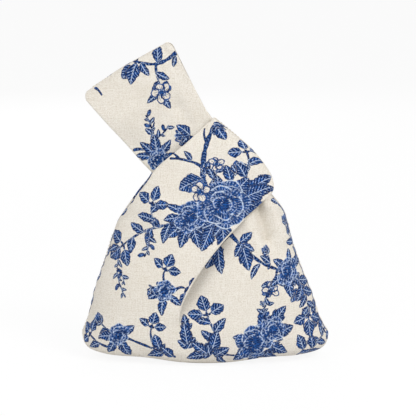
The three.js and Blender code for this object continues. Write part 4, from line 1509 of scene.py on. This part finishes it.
class KNOTBAG_OT_stitches(bpy.types.Operator):
    """Sew the side seams, the base seam and the ends of both handles"""

    bl_idname = "knotbag.stitches"
    bl_label = "Stitches"

    def execute(self, context):
        pattern = Pattern(context.scene)
        stitch = self.one_stitch(pattern.cloth)
        left, right = pattern.left, pattern.right
        left_face, right_face = canvas_face(pattern, left), canvas_face(pattern, right)
        handle_shares = spans(HANDLE_SHARE_SPANS)
        loop_end = handle_face(pattern, handle_shares)[0][-1]
        left_side = self.stretch(left_face[:, 0], left.rows, LEFT_SIDE_SEWN)
        right_side = self.stretch(right_face[:, 0], right.rows, RIGHT_SIDE_SEWN)
        base_left = self.stretch(left_face[0], left.shares, BASE_SEWN)
        base_right = self.stretch(right_face[0], right.shares, BASE_SEWN)
        fold = self.stretch(left_face[-1], left.shares, FOLD_SEWN)
        loop_end = self.stretch(loop_end, handle_shares, LOOP_SEWN)
        lines = (
            ("left_side_stitches", "left_side_seam_thread", "bag", -1, left_side),
            ("right_side_stitches", "right_side_seam_thread", "bag", 1, right_side),
            ("base_stitches", "base_seam_thread", "bag", 1, np.vstack([base_left, base_right[-2::-1]])),
            ("short_handle_stitches", "short_handle_join_thread", "bag", -1, fold),
            ("long_handle_stitches", "long_handle_join_thread", "long_handle_loop", -1, loop_end),
        )
        for name, node, body, turn, line in lines:
            piece = self.sewn(name, stitch, line, turn, pattern.cloth)
            dress(piece, context.scene, "spun thread", "thread")
            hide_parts(node)
            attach(piece, body)
        return {"FINISHED"}

    @staticmethod
    def stretch(line, places, ends):
        return line[(places >= ends[0]) & (places <= ends[1])]

    @staticmethod
    def one_stitch(cloth):
        """A stitch along X: a round-ended bit of thread, thinner where it dives into the cloth."""
        bpy.ops.object.select_all(action="DESELECT")
        bpy.ops.mesh.primitive_uv_sphere_add(segments=8, ring_count=6, radius=float(cloth.thread_radius))
        ball = bpy.context.active_object
        bpy.ops.object.mode_set(mode="EDIT")
        bpy.ops.mesh.select_all(action="SELECT")
        bpy.ops.transform.resize(value=(float(cloth.stitch_length / cloth.thread_radius / 2), 1, 1))
        bpy.ops.object.mode_set(mode="OBJECT")
        points = np.array([v.co for v in ball.data.vertices])
        faces = [list(p.vertices) for p in ball.data.polygons]
        half = cloth.stitch_length / 2
        points[:, 0] = np.sign(points[:, 0]) * np.abs(points[:, 0] / half) ** STITCH_BLUNT * half
        bpy.data.objects.remove(ball)
        return points, faces

    @staticmethod
    def sewn(name, stitch, line, turn, cloth):
        """Copies of the stitch along a line in the middle plane, lifted out of the seam's groove."""
        points, faces = stitch
        line = line[:, [0, 2]]
        gone = runs(line, 0)

        def at(run):
            return np.stack([np.interp(run, gone, column) for column in line.T], -1)

        pitch = cloth.stitch_pitch
        middles = np.arange(pitch / 2, gone[-1] - pitch / 2, pitch)
        spots = at(middles)
        ahead = at(middles + LOOK_AHEAD) - spots
        ways = ahead / np.linalg.norm(ahead, axis=1, keepdims=True)
        outs = turn * np.stack([ways[:, 1], -ways[:, 0]], -1)
        centres = spots + outs * (cloth.thread_radius + STITCH_LIFT)
        all_points, all_faces = [], []
        for k, (centre, way, out) in enumerate(zip(centres, ways, outs)):
            flat = centre + points[:, :1] * way + points[:, 2:] * out
            all_points.append(np.stack([flat[:, 0], points[:, 1], flat[:, 1]], -1))
            all_faces += [[v + k * len(points) for v in face] for face in faces]
        piece = new_piece(name, np.vstack(all_points), all_faces)
        bpy.ops.object.select_all(action="DESELECT")
        bpy.context.view_layer.objects.active = piece
        piece.select_set(True)
        bpy.ops.object.mode_set(mode="EDIT")
        bpy.ops.mesh.select_all(action="SELECT")
        bpy.ops.mesh.normals_make_consistent(inside=False)
        bpy.ops.object.mode_set(mode="OBJECT")
        return piece


class KNOTBAG_OT_stage(bpy.types.Operator):
    """Set up the floor, the light and the camera"""

    bl_idname = "knotbag.stage"
    bl_label = "Stage"

    def execute(self, context):
        scene = context.scene
        scene.view_settings.view_transform = "Standard"
        self.floor(measures(scene.knot_bag_colours).floor)
        self.world(scene)
        for lamp in LAMPS:
            self.lamp(*lamp)
        self.camera(scene)
        return {"FINISHED"}

    @staticmethod
    def shown(t):
        """1 for the rays that show the stage itself: from the camera, off gloss and through glass."""
        rays = t.add("ShaderNodeLightPath").outputs
        return t.most(rays["Is Camera Ray"], rays["Is Glossy Ray"], rays["Is Transmission Ray"])

    def floor(self, colour):
        """A pale floor, near white where it is seen, which keeps the bag's shadow."""
        bpy.ops.object.select_all(action="DESELECT")
        bpy.ops.mesh.primitive_plane_add(size=FLOOR_SIZE, location=(0, 0, 0))
        floor = bpy.context.active_object
        floor.name = "floor"
        material, t, inputs = new_material("white floor", 0.9)
        inputs["Base Color"].default_value = rgba(colour)
        nodes = material.node_tree.nodes
        plain = nodes["Principled BSDF"].outputs[0]
        glow = t.add("ShaderNodeEmission", {"Color": (1, 1, 1, 1), "Strength": 1.0}).outputs[0]
        lit = t.add("ShaderNodeMixShader", {0: FLOOR_GLOW, 1: plain, 2: glow}).outputs[0]
        both = t.add("ShaderNodeMixShader", {0: self.shown(t), 1: plain, 2: lit}).outputs[0]
        t.put(nodes["Material Output"].inputs["Surface"], both)
        floor.data.materials.append(material)

    def world(self, scene):
        """Even light from all round, white where it is seen."""
        world = bpy.data.worlds.new("studio")
        world.use_nodes = True
        scene.world = world
        t = Tree(world.node_tree)
        back = world.node_tree.nodes["Background"].inputs
        back["Color"].default_value = (1, 1, 1, 1)
        light = {"Value": self.shown(t), "To Min": WORLD_LIGHT, "To Max": 1.0}
        t.put(back["Strength"], t.add("ShaderNodeMapRange", light).outputs[0])

    @staticmethod
    def lamp(name, spot, size, power):
        light = bpy.data.lights.new(name, "AREA")
        light.size = size
        light.energy = power
        lamp = bpy.data.objects.new(name, light)
        lamp.location = spot
        lamp.rotation_euler = (LAMP_AIM - lamp.location).to_track_quat("-Z", "Y").to_euler()
        bpy.context.scene.collection.objects.link(lamp)

    @staticmethod
    def camera(scene):
        """A long lens about 10 degrees above the middle of the bag's front."""
        camera = bpy.data.cameras.new("camera")
        camera.lens = camera.sensor_width * CAMERA_DISTANCE / CAMERA_VIEW
        away = Vector((0, -math.cos(CAMERA_RISE), math.sin(CAMERA_RISE)))
        view = bpy.data.objects.new("camera", camera)
        view.location = CAMERA_TARGET + CAMERA_DISTANCE * away
        view.rotation_euler = (CAMERA_TARGET - view.location).to_track_quat("-Z", "Y").to_euler()
        scene.collection.objects.link(view)
        scene.camera = view


STEPS = (KNOTBAG_OT_stage, KNOTBAG_OT_canvas, KNOTBAG_OT_lining, KNOTBAG_OT_handle, KNOTBAG_OT_stitches)
GROUPS = {
    "knot_bag_body": KnotBagBody,
    "knot_bag_handles": KnotBagHandles,
    "knot_bag_cloth": KnotBagCloth,
    "knot_bag_colours": KnotBagColours,
}


class KNOTBAG_PT_panel(bpy.types.Panel):
    """Lists the bag's pieces and its sizes"""

    bl_idname = "KNOTBAG_PT_panel"
    bl_label = "Knot Bag"
    bl_space_type = "VIEW_3D"
    bl_region_type = "UI"
    bl_category = "Knot Bag"

    def draw(self, context):
        for step in STEPS:
            self.layout.operator(step.bl_idname)
        for name in GROUPS:
            group = getattr(context.scene, name)
            box = self.layout.box()
            for key in group.__annotations__:
                box.prop(group, key)


CLASSES = (*GROUPS.values(), *STEPS, KNOTBAG_PT_panel)


def register():
    for cls in CLASSES:
        bpy.utils.register_class(cls)
    for name, group in GROUPS.items():
        setattr(bpy.types.Scene, name, PointerProperty(type=group))


def unregister():
    for name in GROUPS:
        delattr(bpy.types.Scene, name)
    for cls in reversed(CLASSES):
        bpy.utils.unregister_class(cls)


def main():
    register()
    bpy.ops.knotbag.stage()
    bpy.ops.knotbag.canvas()
    bpy.ops.knotbag.lining()
    bpy.ops.knotbag.handle()
    bpy.ops.knotbag.stitches()


if __name__ == "__main__":
    main()
